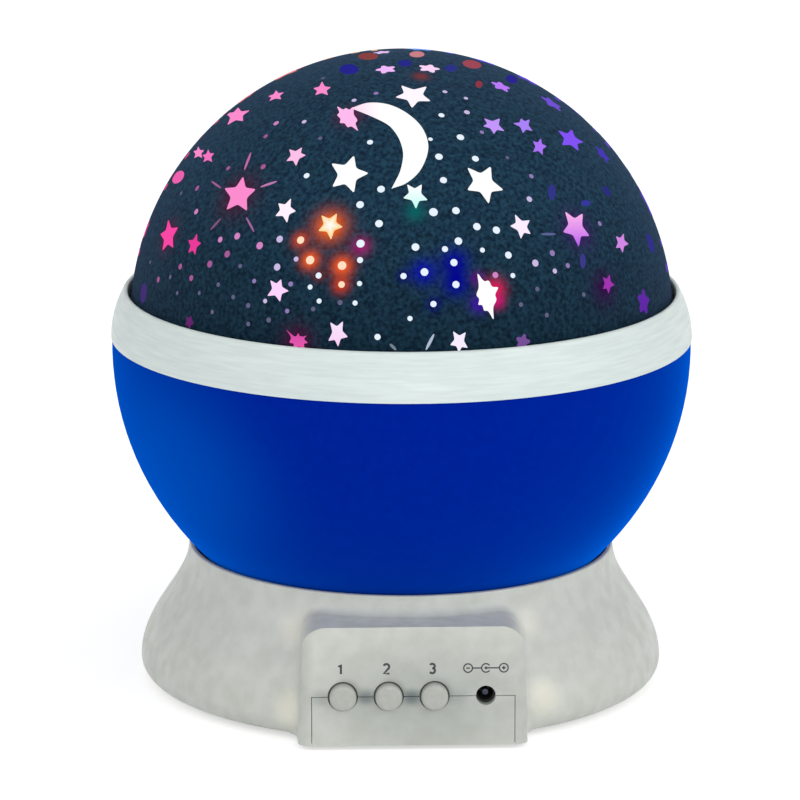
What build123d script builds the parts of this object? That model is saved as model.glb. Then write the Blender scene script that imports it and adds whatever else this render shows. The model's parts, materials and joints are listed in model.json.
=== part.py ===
from build123d import *
from math import asin, cos, degrees, radians, sin, sqrt, tan
import os

# Star night light projector: a lamp ball that turns on a bell-shaped base.
# Millimetres. The origin is on the spin axis at the underside of the feet,
# +Z is up and the button panel faces -Y.

# ---------------------------------------------------------------- driving sizes
# Base housing
foot_proud = 1.0            # the feet lift the housing this far off the table
cover_wall = 2.0
housing_wall = 2.0
seam_gap = 0.15             # between the housing and its cover
bell_radius = 58.9          # widest, at the belly
belly_height = 5.0
belly_rise = 10.0           # pull of the flank curve above the belly
neck_drop = 9.5             # pull of the flank curve below the neck
neck_lip = 0.9              # thickness of the neck's top edge
neck_round = 0.4
cradle_depth = 5.5          # the neck's rim stands this far above the bowl's floor
cradle_gap = 0.45           # between the ball and the neck
deck_wall = 2.0

# Button panel
panel_front = 59.6          # distance of the panel's face from the axis, at the table
panel_lean = 4.0            # degrees, top leaning back
panel_height = 26.3
panel_width = 50.3
panel_top_width = 48.0
panel_corner = 5.0          # upper corners, seen from the front
panel_side_round = 2.8      # upright front edges
panel_blend = 2.5           # hollow blend between the panel box and the bell
cavity_gap = 0.35           # between the cup's wall and the panel's cavity
apron_width = 44.2          # the cover's upstanding front
row_height = 12.0           # height of the buttons' and the socket's axes
button_start = -15.4
button_pitch = 10.0
jack_x = 15.8

# Push buttons
cap_radius = 2.95
cap_gap = 0.35
cap_proud = 2.0
cap_edge = 0.8
cap_flange = 4.0
cap_flange_wall = 1.0
flange_play = 0.3           # between the flange and the panel
press_travel = 1.5
press_reserve = 0.5         # flange to switch, beyond the travel
switch_side = 6.0
switch_height = 4.3
switch_floor = 1.0
plunger_radius = 1.7
plunger_reserve = 0.35      # plunger to the switch's floor, beyond the travel

# Adapter socket for a 3.5 x 1.35 mm plug
jack_side = 7.0
jack_bore = 1.8
jack_pin_radius = 0.65
jack_hole = 2.15
jack_back = 1.0
jack_edge = 0.8
jack_pin_recess = 0.35      # pin behind the socket's mouth

# Control board
board_wall = 1.6
board_edge = 1.2            # board beyond the socket
board_low = 4.0
board_top = 21.5
board_bevel_width = 2.0
board_bevel_height = 5.0
board_screw_x = 10.4
board_screw_height = 18.0
board_post = 2.0
chip_length = 9.9
chip_width = 3.9
chip_wall = 1.5
chip_height = 7.5           # of the chip's middle above the table
capacitor_radius = 2.5
capacitor_length = 7.0
capacitor_x = 10.0

# Ball
ball_radius = 65.0
bowl_wall = 2.0
bowl_floor_wall = 2.0
bowl_rise = 53.2            # from the bowl's floor to its rim
floor_margin = 4.3          # bowl floor beyond the ring gear
well_margin = 1.0           # well beyond the bowl floor

# Collar and dome
collar_proud = 0.25
collar_height = 10.6
collar_lip = 1.5
collar_bulge = 0.64         # of the outer face
collar_round = 1.0          # height of the rounded top edge
collar_lean = 0.35          # inward slope where the rounding starts
tray_wall = 1.8
tray_opening = 22.0
tray_lip_height = 1.2
ledge_rise = 2.4            # dome seat above the bowl's rim
ledge_width = 2.7
tongue_depth = 3.0
tongue_wall = 1.6
fit_gap = 0.1
dome_radius = 61.0
dome_wall = 1.2
dome_skirt = 0.6
dome_flange = 2.0
dome_side_gap = 0.3
dome_seat_gap = 0.1

# Drive: internal ring gear and pinion
tooth_module = 1.0
tooth_share = 0.65          # half a tooth's thickness at the pitch line, in modules
tooth_addendum = 0.8        # tip and root of a tooth from the pitch line, in modules
tooth_dedendum = 1.25
tooth_root_lap = 0.15       # a tooth reaches into its rim
pressure_angle = 20.0
ring_teeth = 60
pinion_teeth = 12
gear_face = 5.2
ring_land = 4.75
gear_floor_gap = 0.8
pinion_top_gap = 0.5
shaft_radius = 1.5
motor_radius = 12.0
motor_height = 12.0
motor_ear = 1.0
motor_ear_width = 5.7
motor_ear_reach = 15.5
motor_step = 1.0            # from the can to its smaller end plate
motor_edge = 0.8
motor_floor = 1.0
motor_nose = 4.0
motor_floor_gap = 2.0
running_gap = 0.08
press_gap = 0.025           # pinion on its shaft

# Spindle, bush and clip
spindle_radius = 4.5
spindle_bore = 3.0
spindle_flange = 12.0
spindle_flange_wall = 2.0
bush_wall = 1.92
bush_flange = 8.5
bush_lift = 0.2
bush_gap = 0.05             # between the bush and the hub
hub_radius = 9.0
hub_drop = 3.0              # hub below the bowl's floor
hub_rise = 8.0              # hub above the bowl's floor, inside
clip_wall = 0.8
clip_radius = 8.0
clip_groove = 0.6
clip_gap = 0.05
bush_top_gap = 0.3

# Light source
led_radius = 2.5
led_flange = 0.4
led_flange_wall = 1.0
led_barrel = 4.0            # from the board to the centre of the lens
led_circle = 5.5
led_rise = 1.7              # lens above the dome's centre
led_board_radius = 13.0
led_board_wall = 1.6
holder_plate = 2.0
holder_socket = 10.0
holder_wall = 1.8
holder_gap = 0.05           # on the spindle
holder_rim = 1.2
holder_rim_height = 1.0
gusset_count = 6
gusset_wall = 1.2
gusset_reach = 3.5
gusset_drop = 5.0

# Batteries
cell_count = 4
cell_radius = 5.25
cell_body = 43.3
cell_nub = 1.2
cell_nub_radius = 1.9
cell_pitch = 10.9
cell_floor_gap = 0.4
cell_roof_gap = 0.2
spring_reach = 6.1          # room that a pressed contact spring takes
bay_wall = 1.5
bay_roof = 1.0
boss_gap = 0.2              # between the bay's roof and the spindle's bosses
lead_space = 2.9            # between the bay's roof and the deck
contact_wall = 0.4
contact_side = 8.0
spring_width = 5.0

# Battery door
door_wall = 1.8
door_gap = 0.3
door_lap = 0.5              # opening beyond the bay's inner walls
door_margin = 2.85          # cover left behind the door's tab
door_round = 0.85
door_tab_width = 11.4
door_tab_reach = 7.5
door_pin = 0.55
door_pin_length = 1.3
door_screw_reach = 4.0
door_boss = 3.2
door_boss_height = 7.0
door_boss_cap = 1.0

# Screws and feet
screw_pilot = 0.95          # small self-tapping screws
screw_play = 0.1            # in the holes they pass through
thread_gap = 0.05           # in the holes they hold in
head_radius = 2.0
head_height = 1.3
cover_pilot = 1.35          # the cover's larger screws
cover_head = 2.7
cover_head_height = 1.7
cover_head_sink = 2.2       # depth of the heads' pockets
head_play = 0.35
screw_reach = 8.0
pilot_spare = 2.0           # pilot hole beyond the screw's end
post_radius = 3.5
post_pad = 1.8
cover_screw_circle = 42.0
cover_screw_front = 55.0    # degrees before the cross axis
cover_screw_rear = 25.0     # degrees behind the cross axis
foot_radius = 4.0
foot_margin = 1.15          # cover left outside the feet
foot_land = 3.5             # cover left between the feet and the door
foot_sink = 1.0
foot_gap = 0.1
collar_screw_land = 1.1     # clear tray round a screw's head or boss
collar_boss = 3.0
collar_boss_length = 26.0
rib_wall = 1.5
rib_gap = 0.35              # between the ribs and the collar's tongue
gear_boss = 2.8
gear_boss_height = 4.0
gear_boss_cap = 0.35
spindle_boss = 3.0
spindle_screw_circle = 8.5

# Inner leads
lead_radius = 0.6
led_lead_radius = 0.8
led_lead_bend = 5.0
led_lead_turn = 2.0         # behind the axis, where the lead turns to the board
motor_lead_x = -7.0
motor_lead_height = 11.0
motor_lead_slack = 5.5      # behind the board, where the lead rises
motor_lead_bend = 2.4
battery_lead_x = -19.0
battery_lead_end = -14.0
battery_lead_turn = 12.0
battery_lead_slack = 6.0
battery_lead_bend = 3.5

# ---------------------------------------------------------------- derived heights
cover_top = foot_proud + cover_wall
cell_height = cover_top + cell_floor_gap + cell_radius
bay_top = cell_height + cell_radius + cell_roof_gap + bay_roof
bay_length = contact_wall + cell_nub + cell_body + spring_reach
motor_stack = motor_floor_gap + motor_height + motor_ear
deck_bottom = max(cover_top + motor_stack, bay_top + lead_space)
deck_top = deck_bottom + deck_wall
gear_bottom = deck_top + gear_floor_gap
bowl_floor = gear_bottom + gear_face
bowl_inside = bowl_floor + bowl_floor_wall
bowl_rim = bowl_floor + bowl_rise
neck_height = bowl_floor + cradle_depth
collar_top = bowl_rim + collar_height
dome_seat = bowl_rim + ledge_rise
dome_bottom = dome_seat + dome_seat_gap
dome_centre = dome_bottom + dome_skirt
panel_top = foot_proud + panel_height

# ---------------------------------------------------------------- derived radii
ring_pitch = tooth_module * ring_teeth / 2
pinion_pitch = tooth_module * pinion_teeth / 2
pinion_y = -(ring_pitch - pinion_pitch)
ring_tip = ring_pitch - tooth_addendum * tooth_module
ring_root = ring_pitch + tooth_dedendum * tooth_module
ring_outer = ring_root + ring_land
gear_screw_circle = (ring_root + ring_outer) / 2
floor_radius = ring_outer + floor_margin
ball_centre = bowl_floor + sqrt(ball_radius**2 - floor_radius**2)
well_radius = floor_radius + well_margin
cup_radius = well_radius + housing_wall
well_ball = ball_radius + cradle_gap
cup_ball = well_ball + housing_wall
hem_radius = belly_height - foot_proud
hem_edge = bell_radius - hem_radius
hem_floor = foot_proud + housing_wall
cover_opening = hem_edge - housing_wall
cover_radius = cover_opening - seam_gap
collar_bore = dome_radius + dome_side_gap
ledge_inner = collar_bore - ledge_width
screw_hole = screw_pilot + screw_play
screw_shank = screw_pilot - thread_gap
cover_shank = cover_pilot - thread_gap


def ball_width(radius, height):
    """Half width, at a height, of a sphere about the ball's centre."""
    return sqrt(radius**2 - (height - ball_centre) ** 2)


def ball_arc(radius, low, high):
    """Meridian arc of a sphere about the ball's centre, between two heights."""
    heights = (low, (low + high) / 2, high)
    return ThreePointArc(*[(ball_width(radius, h), h) for h in heights])


def ball_depth(radius, width):
    """Height, below the ball's centre, at which a sphere has a given half width."""
    return ball_centre - sqrt(radius**2 - width**2)


def around(radius, angles):
    """Points on a circle about the axis, at angles in degrees."""
    return [(radius * cos(radians(a)), radius * sin(radians(a))) for a in angles]


def save(piece, name):
    """Label a finished piece and write its STEP file."""
    piece.part.label = name
    export_step(piece.part, f"parts/{name}.step")


os.makedirs("parts", exist_ok=True)
standing = (Align.CENTER, Align.CENTER, Align.MIN)
hanging = (Align.CENTER, Align.CENTER, Align.MAX)
neck_radius = ball_width(well_ball, neck_height) + neck_lip
tongue_outer = ball_width(ball_radius - bowl_wall, bowl_rim - tongue_depth) - fit_gap
tongue_inner = tongue_outer - tongue_wall
collar_screw_circle = min(ledge_inner - head_radius, tongue_inner - collar_boss) - collar_screw_land
foot_circle = cover_radius - foot_margin - foot_gap - foot_radius
foot_x = bay_length / 2 + door_lap + foot_land + foot_gap + foot_radius
foot_y = sqrt(foot_circle**2 - foot_x**2)
cover_screw_points = around(
    cover_screw_circle,
    (-cover_screw_front, -180 + cover_screw_front, cover_screw_rear, 180 - cover_screw_rear),
)
foot_points = [(x, y) for x in (-foot_x, foot_x) for y in (-foot_y, foot_y)]
spindle_screw_points = around(spindle_screw_circle, (90, 210, 330))
collar_screw_points = around(collar_screw_circle, (30, 150, 270))
gear_screw_points = around(gear_screw_circle, (33, 153, 273))
motor_screw_points = [(0, pinion_y + motor_ear_reach), (0, pinion_y - motor_ear_reach)]
button_places = [button_start + button_pitch * i for i in range(3)]
button_names = ("a", "b", "c")

# ---------------------------------------------------------------- base housing
# The bell is a body of revolution with the leaning panel box on its front. Inside,
# a cup cradles the ball, and its deck carries the motor and the spindle.
with BuildPart() as bell_form:
    with BuildSketch(Plane.XZ):
        with BuildLine():
            Line((0, foot_proud), (hem_edge, foot_proud))
            CenterArc((hem_edge, belly_height), hem_radius, -90, 90)
            Bezier(
                (bell_radius, belly_height),
                (bell_radius, belly_height + belly_rise),
                (neck_radius, neck_height - neck_drop),
                (neck_radius, neck_height),
            )
            Polyline((neck_radius, neck_height), (0, neck_height), (0, foot_proud))
        make_face()
    revolve(axis=Axis.Z)
    fillet(bell_form.edges().group_by(Axis.Z)[-1], neck_round)

with BuildPart() as cup_form:
    with BuildSketch(Plane.XZ):
        with BuildLine():
            cup_bend = ball_depth(cup_ball, cup_radius)
            Polyline((0, deck_bottom), (cup_radius, deck_bottom), (cup_radius, cup_bend))
            ball_arc(cup_ball, cup_bend, neck_height)
            Polyline(
                (ball_width(cup_ball, neck_height), neck_height),
                (0, neck_height),
                (0, deck_bottom),
            )
        make_face()
    revolve(axis=Axis.Z)

with BuildPart() as base_core:
    with BuildSketch(Plane.XZ):
        with BuildLine():
            Polyline(
                (0, foot_proud),
                (cover_opening, foot_proud),
                (cover_opening, hem_floor),
                (hem_edge, hem_floor),
            )
            CenterArc((hem_edge, belly_height), hem_radius - housing_wall, -90, 90)
            Bezier(
                (bell_radius - housing_wall, belly_height),
                (bell_radius - housing_wall, belly_height + belly_rise - housing_wall / 2),
                (neck_radius - housing_wall, neck_height - neck_drop - housing_wall / 2),
                (neck_radius - housing_wall, neck_height),
            )
            Polyline(
                (neck_radius - housing_wall, neck_height), (0, neck_height), (0, foot_proud)
            )
        make_face()
    revolve(axis=Axis.Z)
    add(cup_form.part, mode=Mode.SUBTRACT)

with BuildPart() as well_void:
    with BuildSketch(Plane.XZ):
        with BuildLine():
            well_bend = ball_depth(well_ball, well_radius)
            well_mouth = neck_height + cradle_depth
            Polyline((0, deck_top), (well_radius, deck_top), (well_radius, well_bend))
            ball_arc(well_ball, well_bend, well_mouth)
            Polyline(
                (ball_width(well_ball, well_mouth), well_mouth), (0, well_mouth), (0, deck_top)
            )
        make_face()
    revolve(axis=Axis.Z)

lean = tan(radians(panel_lean))
face_normal = (0, -cos(radians(panel_lean)), sin(radians(panel_lean)))


def panel_face(depth):
    """The panel's leaning face, moved back by a depth."""
    return Plane(origin=(0, depth - panel_front, 0), x_dir=(1, 0, 0), z_dir=face_normal)


def panel_y(height, depth=0.0):
    """Y of the panel's face at a height, moved back by a depth."""
    return depth - panel_front + height * lean


def panel_outline(top, inset=0.0):
    """Corner points of the panel's outline up to a height, drawn in by a wall."""
    taper = (panel_width - panel_top_width) / 2 / panel_height
    low = panel_width / 2 - inset
    high = low - (top - foot_proud) * taper
    return [(-low, foot_proud), (low, foot_proud), (high, top), (-high, top)]


# The panel box: a taller one gets its upright front edges rounded, and the outline with
# its rounded corners is then cut from it, which leaves the top edge crisp.
with BuildPart() as panel_form:
    with BuildSketch(Plane.XZ.offset(well_radius)):
        Polygon(*panel_outline(panel_top + panel_corner), align=None)
    extrude(amount=panel_front - well_radius)
    split(bisect_by=panel_face(0), keep=Keep.BOTTOM)
    panel_sides = panel_form.faces().sort_by(Axis.Y)[0].edges().sort_by(Axis.X)
    fillet((panel_sides[0], panel_sides[-1]), panel_side_round)
    with BuildSketch(Plane.XZ.offset(well_radius)) as panel_sketch:
        Polygon(*panel_outline(panel_top), align=None)
        fillet(panel_sketch.vertices().group_by(Axis.Y)[-1], panel_corner)
    extrude(amount=panel_front, mode=Mode.INTERSECT)

with BuildPart() as panel_core:
    with BuildSketch(Plane.XZ.offset(cup_radius + cavity_gap)) as core_sketch:
        Polygon(*panel_outline(panel_top - housing_wall, housing_wall), align=None)
        fillet(core_sketch.vertices().group_by(Axis.Y)[-1], panel_corner - housing_wall)
    extrude(amount=panel_front - cup_radius)
    split(bisect_by=panel_face(housing_wall), keep=Keep.BOTTOM)

with BuildPart() as shell_form:
    add(bell_form.part)
    add(panel_form.part)
    blend_edges = new_edges(bell_form.part, panel_form.part, combined=shell_form.part)
    fillet(blend_edges.filter_by(lambda edge: edge.center().Z > hem_floor), panel_blend)

# Depths behind the panel, from the button's flange back to the control board
flange_front = panel_y(row_height + cap_flange, housing_wall) + flange_play
flange_back = flange_front + cap_flange_wall
switch_front = flange_back + press_travel + press_reserve
board_front = switch_front + switch_height
board_back = board_front + board_wall
board_half = jack_x + jack_side / 2 + board_edge
board_post_points = [
    (-board_screw_x, board_screw_height), (board_screw_x, board_screw_height)
]
lead_hole = spindle_bore + fit_gap
boss_bottom = bay_top + boss_gap

with BuildPart() as base_shell:
    add(shell_form.part)
    add(base_core.part, mode=Mode.SUBTRACT)
    add(panel_core.part, mode=Mode.SUBTRACT)
    add(well_void.part, mode=Mode.SUBTRACT)
    # posts for the cover's screws
    with BuildSketch(Plane.XY.offset(deck_bottom)):
        with Locations(*cover_screw_points):
            Circle(post_radius)
    extrude(amount=-(deck_bottom - cover_top - post_pad))
    # bosses for the spindle's screws
    with BuildSketch(Plane.XY.offset(deck_bottom)):
        with Locations(*spindle_screw_points):
            Circle(spindle_boss)
    extrude(amount=-(deck_bottom - boss_bottom))
    # posts for the control board
    with BuildSketch(Plane.XZ.offset(-board_front)):
        with Locations(*board_post_points):
            Circle(board_post)
    extrude(amount=board_front - panel_y(board_screw_height, housing_wall / 2))
    with BuildSketch(Plane.XZ.offset(-board_front)):
        with Locations(*board_post_points):
            Circle(screw_pilot)
    extrude(amount=board_front - panel_y(board_screw_height, housing_wall), mode=Mode.SUBTRACT)
    with BuildSketch(Plane.XY.offset(cover_top)):
        with Locations(*cover_screw_points):
            Circle(cover_pilot)
    extrude(amount=deck_bottom - cover_top, mode=Mode.SUBTRACT)
    # deck holes for the spindle's lead, its screws, and the motor
    with BuildSketch(Plane.XY.offset(boss_bottom)):
        Circle(lead_hole)
        with Locations(*spindle_screw_points):
            Circle(screw_pilot)
        with Locations((0, pinion_y)):
            Circle(motor_nose + fit_gap)
        with Locations(*motor_screw_points):
            Circle(screw_pilot)
    extrude(amount=deck_top - boss_bottom, mode=Mode.SUBTRACT)
    # upper halves of the button holes and of the socket's hole, and the apron's notch
    with BuildSketch(Plane.XZ.offset(-flange_front)):
        with Locations(*[(x, row_height) for x in button_places]):
            Circle(cap_radius + cap_gap)
        with Locations((jack_x, row_height)):
            Circle(jack_hole)
        with Locations((0, row_height)):
            Rectangle(
                apron_width + 2 * seam_gap, row_height, align=(Align.CENTER, Align.MAX)
            )
    extrude(amount=panel_front, mode=Mode.SUBTRACT)
save(base_shell, "base_shell")

# ---------------------------------------------------------------- bottom cover
# A plate with the battery bay standing on it and an apron that closes the lower half
# of the panel, so that the buttons and the socket are trapped between the two halves.
bay_width = cell_count * cell_pitch
opening_length = bay_length + 2 * door_lap
opening_width = bay_width + 2 * (door_lap + seam_gap)
opening_back = cover_radius - door_margin - door_tab_reach + door_gap
bay_middle = opening_back - opening_width / 2
bay_front = bay_middle - bay_width / 2
door_screw_y = opening_back + door_screw_reach
cover_shoulder = foot_proud + cover_head_sink
hinge_y = opening_back - opening_width + door_gap + door_wall / 2
hinge_height = foot_proud + door_wall / 2
tab_recess_width = door_tab_width + 2 * door_gap
cover_nose = panel_width / 2 - housing_wall - seam_gap
apron_top = row_height - seam_gap

with BuildPart() as bottom_cover:
    with BuildSketch(Plane.XY.offset(foot_proud)):
        Circle(cover_radius)
        with Locations((0, panel_y(cover_top, housing_wall + seam_gap))):
            Rectangle(2 * cover_nose, cup_radius / 2, align=(Align.CENTER, Align.MIN))
    extrude(amount=cover_wall)
    # apron: it continues the panel's leaning wall down from the row of buttons
    with BuildSketch(Plane.YZ):
        Polygon(
            (panel_y(foot_proud), foot_proud),
            (panel_y(apron_top), apron_top),
            (panel_y(apron_top, housing_wall), apron_top),
            (panel_y(cover_top, housing_wall), cover_top),
            (-cup_radius, cover_top),
            (-cup_radius, foot_proud),
            align=None,
        )
    extrude(amount=apron_width / 2, both=True)
    with BuildSketch(Plane.XZ.offset(cup_radius)):
        with Locations(*[(x, row_height) for x in button_places]):
            Circle(cap_radius + cap_gap)
        with Locations((jack_x, row_height)):
            Circle(jack_hole)
    extrude(amount=panel_front, mode=Mode.SUBTRACT)
    # battery bay
    with BuildSketch(Plane.XY.offset(cover_top)):
        with Locations((0, bay_middle)):
            Rectangle(bay_length + 2 * bay_wall, bay_width + 2 * bay_wall)
    extrude(amount=bay_top - cover_top)
    with BuildSketch(Plane.XY.offset(foot_proud)):
        with Locations((0, bay_middle)):
            Rectangle(bay_length, bay_width)
    extrude(amount=bay_top - bay_roof - foot_proud, mode=Mode.SUBTRACT)
    # boss of the door's screw, and pads of the cover's screws
    with BuildSketch(Plane.XY.offset(cover_top)):
        with Locations((0, door_screw_y)):
            Circle(door_boss)
    extrude(amount=door_boss_height)
    with BuildSketch(Plane.XY.offset(cover_top)):
        with Locations(*cover_screw_points):
            Circle(post_radius + head_play)
    extrude(amount=post_pad - seam_gap)
    # door opening with its tab, and the pivot slots
    with BuildSketch(Plane.XY.offset(foot_proud)):
        with Locations((0, bay_middle)):
            Rectangle(opening_length, opening_width)
        with Locations((0, opening_back)):
            Rectangle(
                tab_recess_width, 2 * (door_tab_reach + door_gap), align=(Align.CENTER, Align.CENTER)
            )
    extrude(amount=cover_wall, mode=Mode.SUBTRACT)
    with BuildSketch(Plane.YZ):
        with Locations((hinge_y, hinge_height)):
            Circle(door_pin + fit_gap)
            Rectangle(
                2 * (door_pin + fit_gap), door_wall, align=(Align.CENTER, Align.MAX)
            )
    extrude(amount=opening_length / 2 + door_pin_length, both=True, mode=Mode.SUBTRACT)
    # screw holes and foot pockets
    with BuildSketch(Plane.XY.offset(foot_proud)):
        with Locations((0, door_screw_y)):
            Circle(cover_pilot)
    extrude(amount=cover_wall + door_boss_height - door_boss_cap, mode=Mode.SUBTRACT)
    with BuildSketch(Plane.XY.offset(foot_proud)):
        with Locations(*cover_screw_points):
            Circle(cover_pilot + head_play)
    extrude(amount=cover_wall + post_pad, mode=Mode.SUBTRACT)
    with BuildSketch(Plane.XY.offset(foot_proud)):
        with Locations(*cover_screw_points):
            Circle(cover_head + head_play)
    extrude(amount=cover_head_sink, mode=Mode.SUBTRACT)
    with BuildSketch(Plane.XY.offset(foot_proud)):
        with Locations(*foot_points):
            Circle(foot_radius + foot_gap)
    extrude(amount=foot_sink, mode=Mode.SUBTRACT)
save(bottom_cover, "bottom_cover")

with BuildPart() as rubber_feet:
    with BuildSketch(Plane.XY):
        with Locations(*foot_points):
            Circle(foot_radius)
    extrude(amount=foot_proud + foot_sink)
    fillet(rubber_feet.faces().group_by(Axis.Z)[0].edges(), foot_proud / 2)
save(rubber_feet, "rubber_feet")

with BuildPart() as cover_screws:
    with BuildSketch(Plane.XY.offset(cover_shoulder)):
        with Locations(*cover_screw_points):
            Circle(cover_head)
    extrude(amount=-cover_head_height)
    with BuildSketch(Plane.XY.offset(cover_shoulder)):
        with Locations(*cover_screw_points):
            Circle(cover_shank)
    extrude(amount=screw_reach + post_pad)
save(cover_screws, "cover_screws")

# ---------------------------------------------------------------- battery door
door_length = opening_length - 2 * door_gap
door_back = opening_back - door_gap
door_front = hinge_y - door_wall / 2
with BuildPart() as battery_door:
    with BuildSketch(Plane.XY.offset(foot_proud)):
        with Locations((0, door_front)):
            Rectangle(door_length, door_back - door_front, align=(Align.CENTER, Align.MIN))
        with Locations((0, door_back)):
            Rectangle(door_tab_width, 2 * door_tab_reach)
    extrude(amount=door_wall)
    fillet(battery_door.edges().filter_by(Axis.X).group_by(Axis.Y)[0], door_round)
    with BuildSketch(Plane.YZ):
        with Locations((hinge_y, hinge_height)):
            Circle(door_pin)
    extrude(amount=door_length / 2 + door_pin_length, both=True)
    with Locations((0, door_screw_y, foot_proud)):
        Hole(screw_hole, depth=2 * door_wall)
        Cone(
            head_radius + screw_play, screw_hole, head_height, align=standing, mode=Mode.SUBTRACT
        )
save(battery_door, "battery_door")

with BuildPart() as door_screw:
    with Locations((0, door_screw_y, foot_proud)):
        Cone(head_radius, screw_pilot, head_height, align=standing)
        Cylinder(screw_pilot, door_wall + door_screw_reach, align=standing)
save(door_screw, "door_screw")

# ---------------------------------------------------------------- batteries
# The cells lie across the bay, each turned the other way from its neighbour.
bay_end = bay_length / 2
cell_tip = bay_end - contact_wall
cell_places = [(bay_front + cell_pitch * (i + 0.5), 1 - 2 * (i % 2)) for i in range(cell_count)]

with BuildPart() as battery_cells:
    for cell_y, side in cell_places:
        nub_plane = Plane((side * cell_tip, cell_y, cell_height), z_dir=(-side, 0, 0))
        with BuildSketch(nub_plane):
            Circle(cell_nub_radius)
        extrude(amount=cell_nub)
        with BuildSketch(nub_plane.offset(cell_nub)):
            Circle(cell_radius)
        extrude(amount=cell_body)
save(battery_cells, "battery_cells")

with BuildPart() as contact_plates:
    for cell_y, side in cell_places:
        with BuildSketch(Plane((side * bay_end, cell_y, cell_height), z_dir=(-side, 0, 0))):
            Rectangle(contact_side, contact_side)
        extrude(amount=contact_wall)
save(contact_plates, "contact_plates")

with BuildPart() as contact_springs:
    strip = contact_wall / 2
    for cell_y, side in cell_places:
        with BuildSketch(Plane((0, cell_y, cell_height), x_dir=(side, 0, 0), z_dir=(0, -side, 0))):
            with BuildLine():
                Polyline(
                    (-bay_end + strip, contact_side / 2),
                    (-bay_end + strip, -contact_side / 2),
                    (-bay_end + spring_reach - strip, -contact_side / 6),
                    (-bay_end + spring_reach - strip, contact_side / 6),
                    (-bay_end + spring_reach / 2, contact_side / 3),
                )
            trace(line_width=contact_wall)
        extrude(amount=spring_width / 2, both=True)
save(contact_springs, "contact_springs")

# ---------------------------------------------------------------- control board
with BuildPart() as control_board:
    with BuildSketch(Plane.XZ.offset(-board_back)):
        Polygon(
            (-board_half, board_low),
            (board_half, board_low),
            (board_half, board_top - board_bevel_height),
            (board_half - board_bevel_width, board_top),
            (-board_half + board_bevel_width, board_top),
            (-board_half, board_top - board_bevel_height),
            align=None,
        )
        with Locations(*board_post_points):
            Circle(screw_hole, mode=Mode.SUBTRACT)
    extrude(amount=board_wall)
save(control_board, "control_board")

with BuildPart() as control_chip:
    with BuildSketch(Plane.XZ.offset(-board_back)):
        with Locations((0, chip_height)):
            Rectangle(chip_length, chip_width)
    extrude(amount=-chip_wall)
    chamfer(control_chip.faces().sort_by(Axis.Y)[-1].edges(), chip_wall / 4)
save(control_chip, "control_chip")

with BuildPart() as supply_capacitor:
    with BuildSketch(Plane.XZ.offset(-board_back)):
        with Locations((capacitor_x, chip_height)):
            Circle(capacitor_radius)
    extrude(amount=-capacitor_length)
    fillet(supply_capacitor.faces().sort_by(Axis.Y)[-1].edges(), chip_wall / 4)
save(supply_capacitor, "supply_capacitor")

with BuildPart() as board_screws:
    with BuildSketch(Plane.XZ.offset(-board_back)):
        with Locations(*board_post_points):
            Circle(head_radius)
    extrude(amount=-head_height)
    with BuildSketch(Plane.XZ.offset(-board_back)):
        with Locations(*board_post_points):
            Circle(screw_shank)
    extrude(amount=board_wall + switch_height)
save(board_screws, "board_screws")

plunger_bore = plunger_radius + running_gap
with BuildPart() as switch_bodies:
    with BuildSketch(Plane.XZ.offset(-board_front)):
        with Locations(*[(x, row_height) for x in button_places]):
            Rectangle(switch_side, switch_side)
    extrude(amount=switch_height)
    with BuildSketch(Plane.XZ.offset(-switch_front)):
        with Locations(*[(x, row_height) for x in button_places]):
            Circle(plunger_bore)
    extrude(amount=-(switch_height - switch_floor), mode=Mode.SUBTRACT)
save(switch_bodies, "switch_bodies")

# ---------------------------------------------------------------- push buttons
cap_front = panel_y(row_height) - cap_proud
plunger_reach = switch_height - switch_floor - press_travel - plunger_reserve
for name, place in zip(button_names, button_places):
    with BuildPart() as button_cap:
        with BuildSketch(Plane.XZ.offset(-flange_front)):
            with Locations((place, row_height)):
                Circle(cap_radius)
        extrude(amount=flange_front - cap_front)
        fillet(button_cap.faces().sort_by(Axis.Y)[0].edges(), cap_edge)
        with BuildSketch(Plane.XZ.offset(-flange_back)):
            with Locations((place, row_height)):
                Circle(cap_flange)
        extrude(amount=cap_flange_wall)
    save(button_cap, f"button_cap_{name}")

    with BuildPart() as switch_plunger:
        with BuildSketch(Plane.XZ.offset(-flange_back)):
            with Locations((place, row_height)):
                Circle(plunger_radius)
        extrude(amount=-(switch_front - flange_back + plunger_reach))
    save(switch_plunger, f"switch_plunger_{name}")

# ---------------------------------------------------------------- adapter socket
jack_front = panel_y(row_height + jack_side / 2, housing_wall) + fit_gap
jack_floor = board_front - jack_back
with BuildPart() as dc_jack:
    with BuildSketch(Plane.XZ.offset(-board_front)):
        with Locations((jack_x, row_height)):
            Rectangle(jack_side, jack_side)
    extrude(amount=board_front - jack_front)
    fillet(dc_jack.edges().filter_by(Axis.Y), jack_edge)
    with BuildSketch(Plane.XZ.offset(-jack_floor)):
        with Locations((jack_x, row_height)):
            Circle(jack_bore)
    extrude(amount=jack_floor - jack_front, mode=Mode.SUBTRACT)
save(dc_jack, "dc_jack")

with BuildPart() as jack_pin:
    with BuildSketch(Plane.XZ.offset(-jack_floor)):
        with Locations((jack_x, row_height)):
            Circle(jack_pin_radius)
    extrude(amount=jack_floor - jack_front - jack_pin_recess)
save(jack_pin, "jack_pin")

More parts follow.
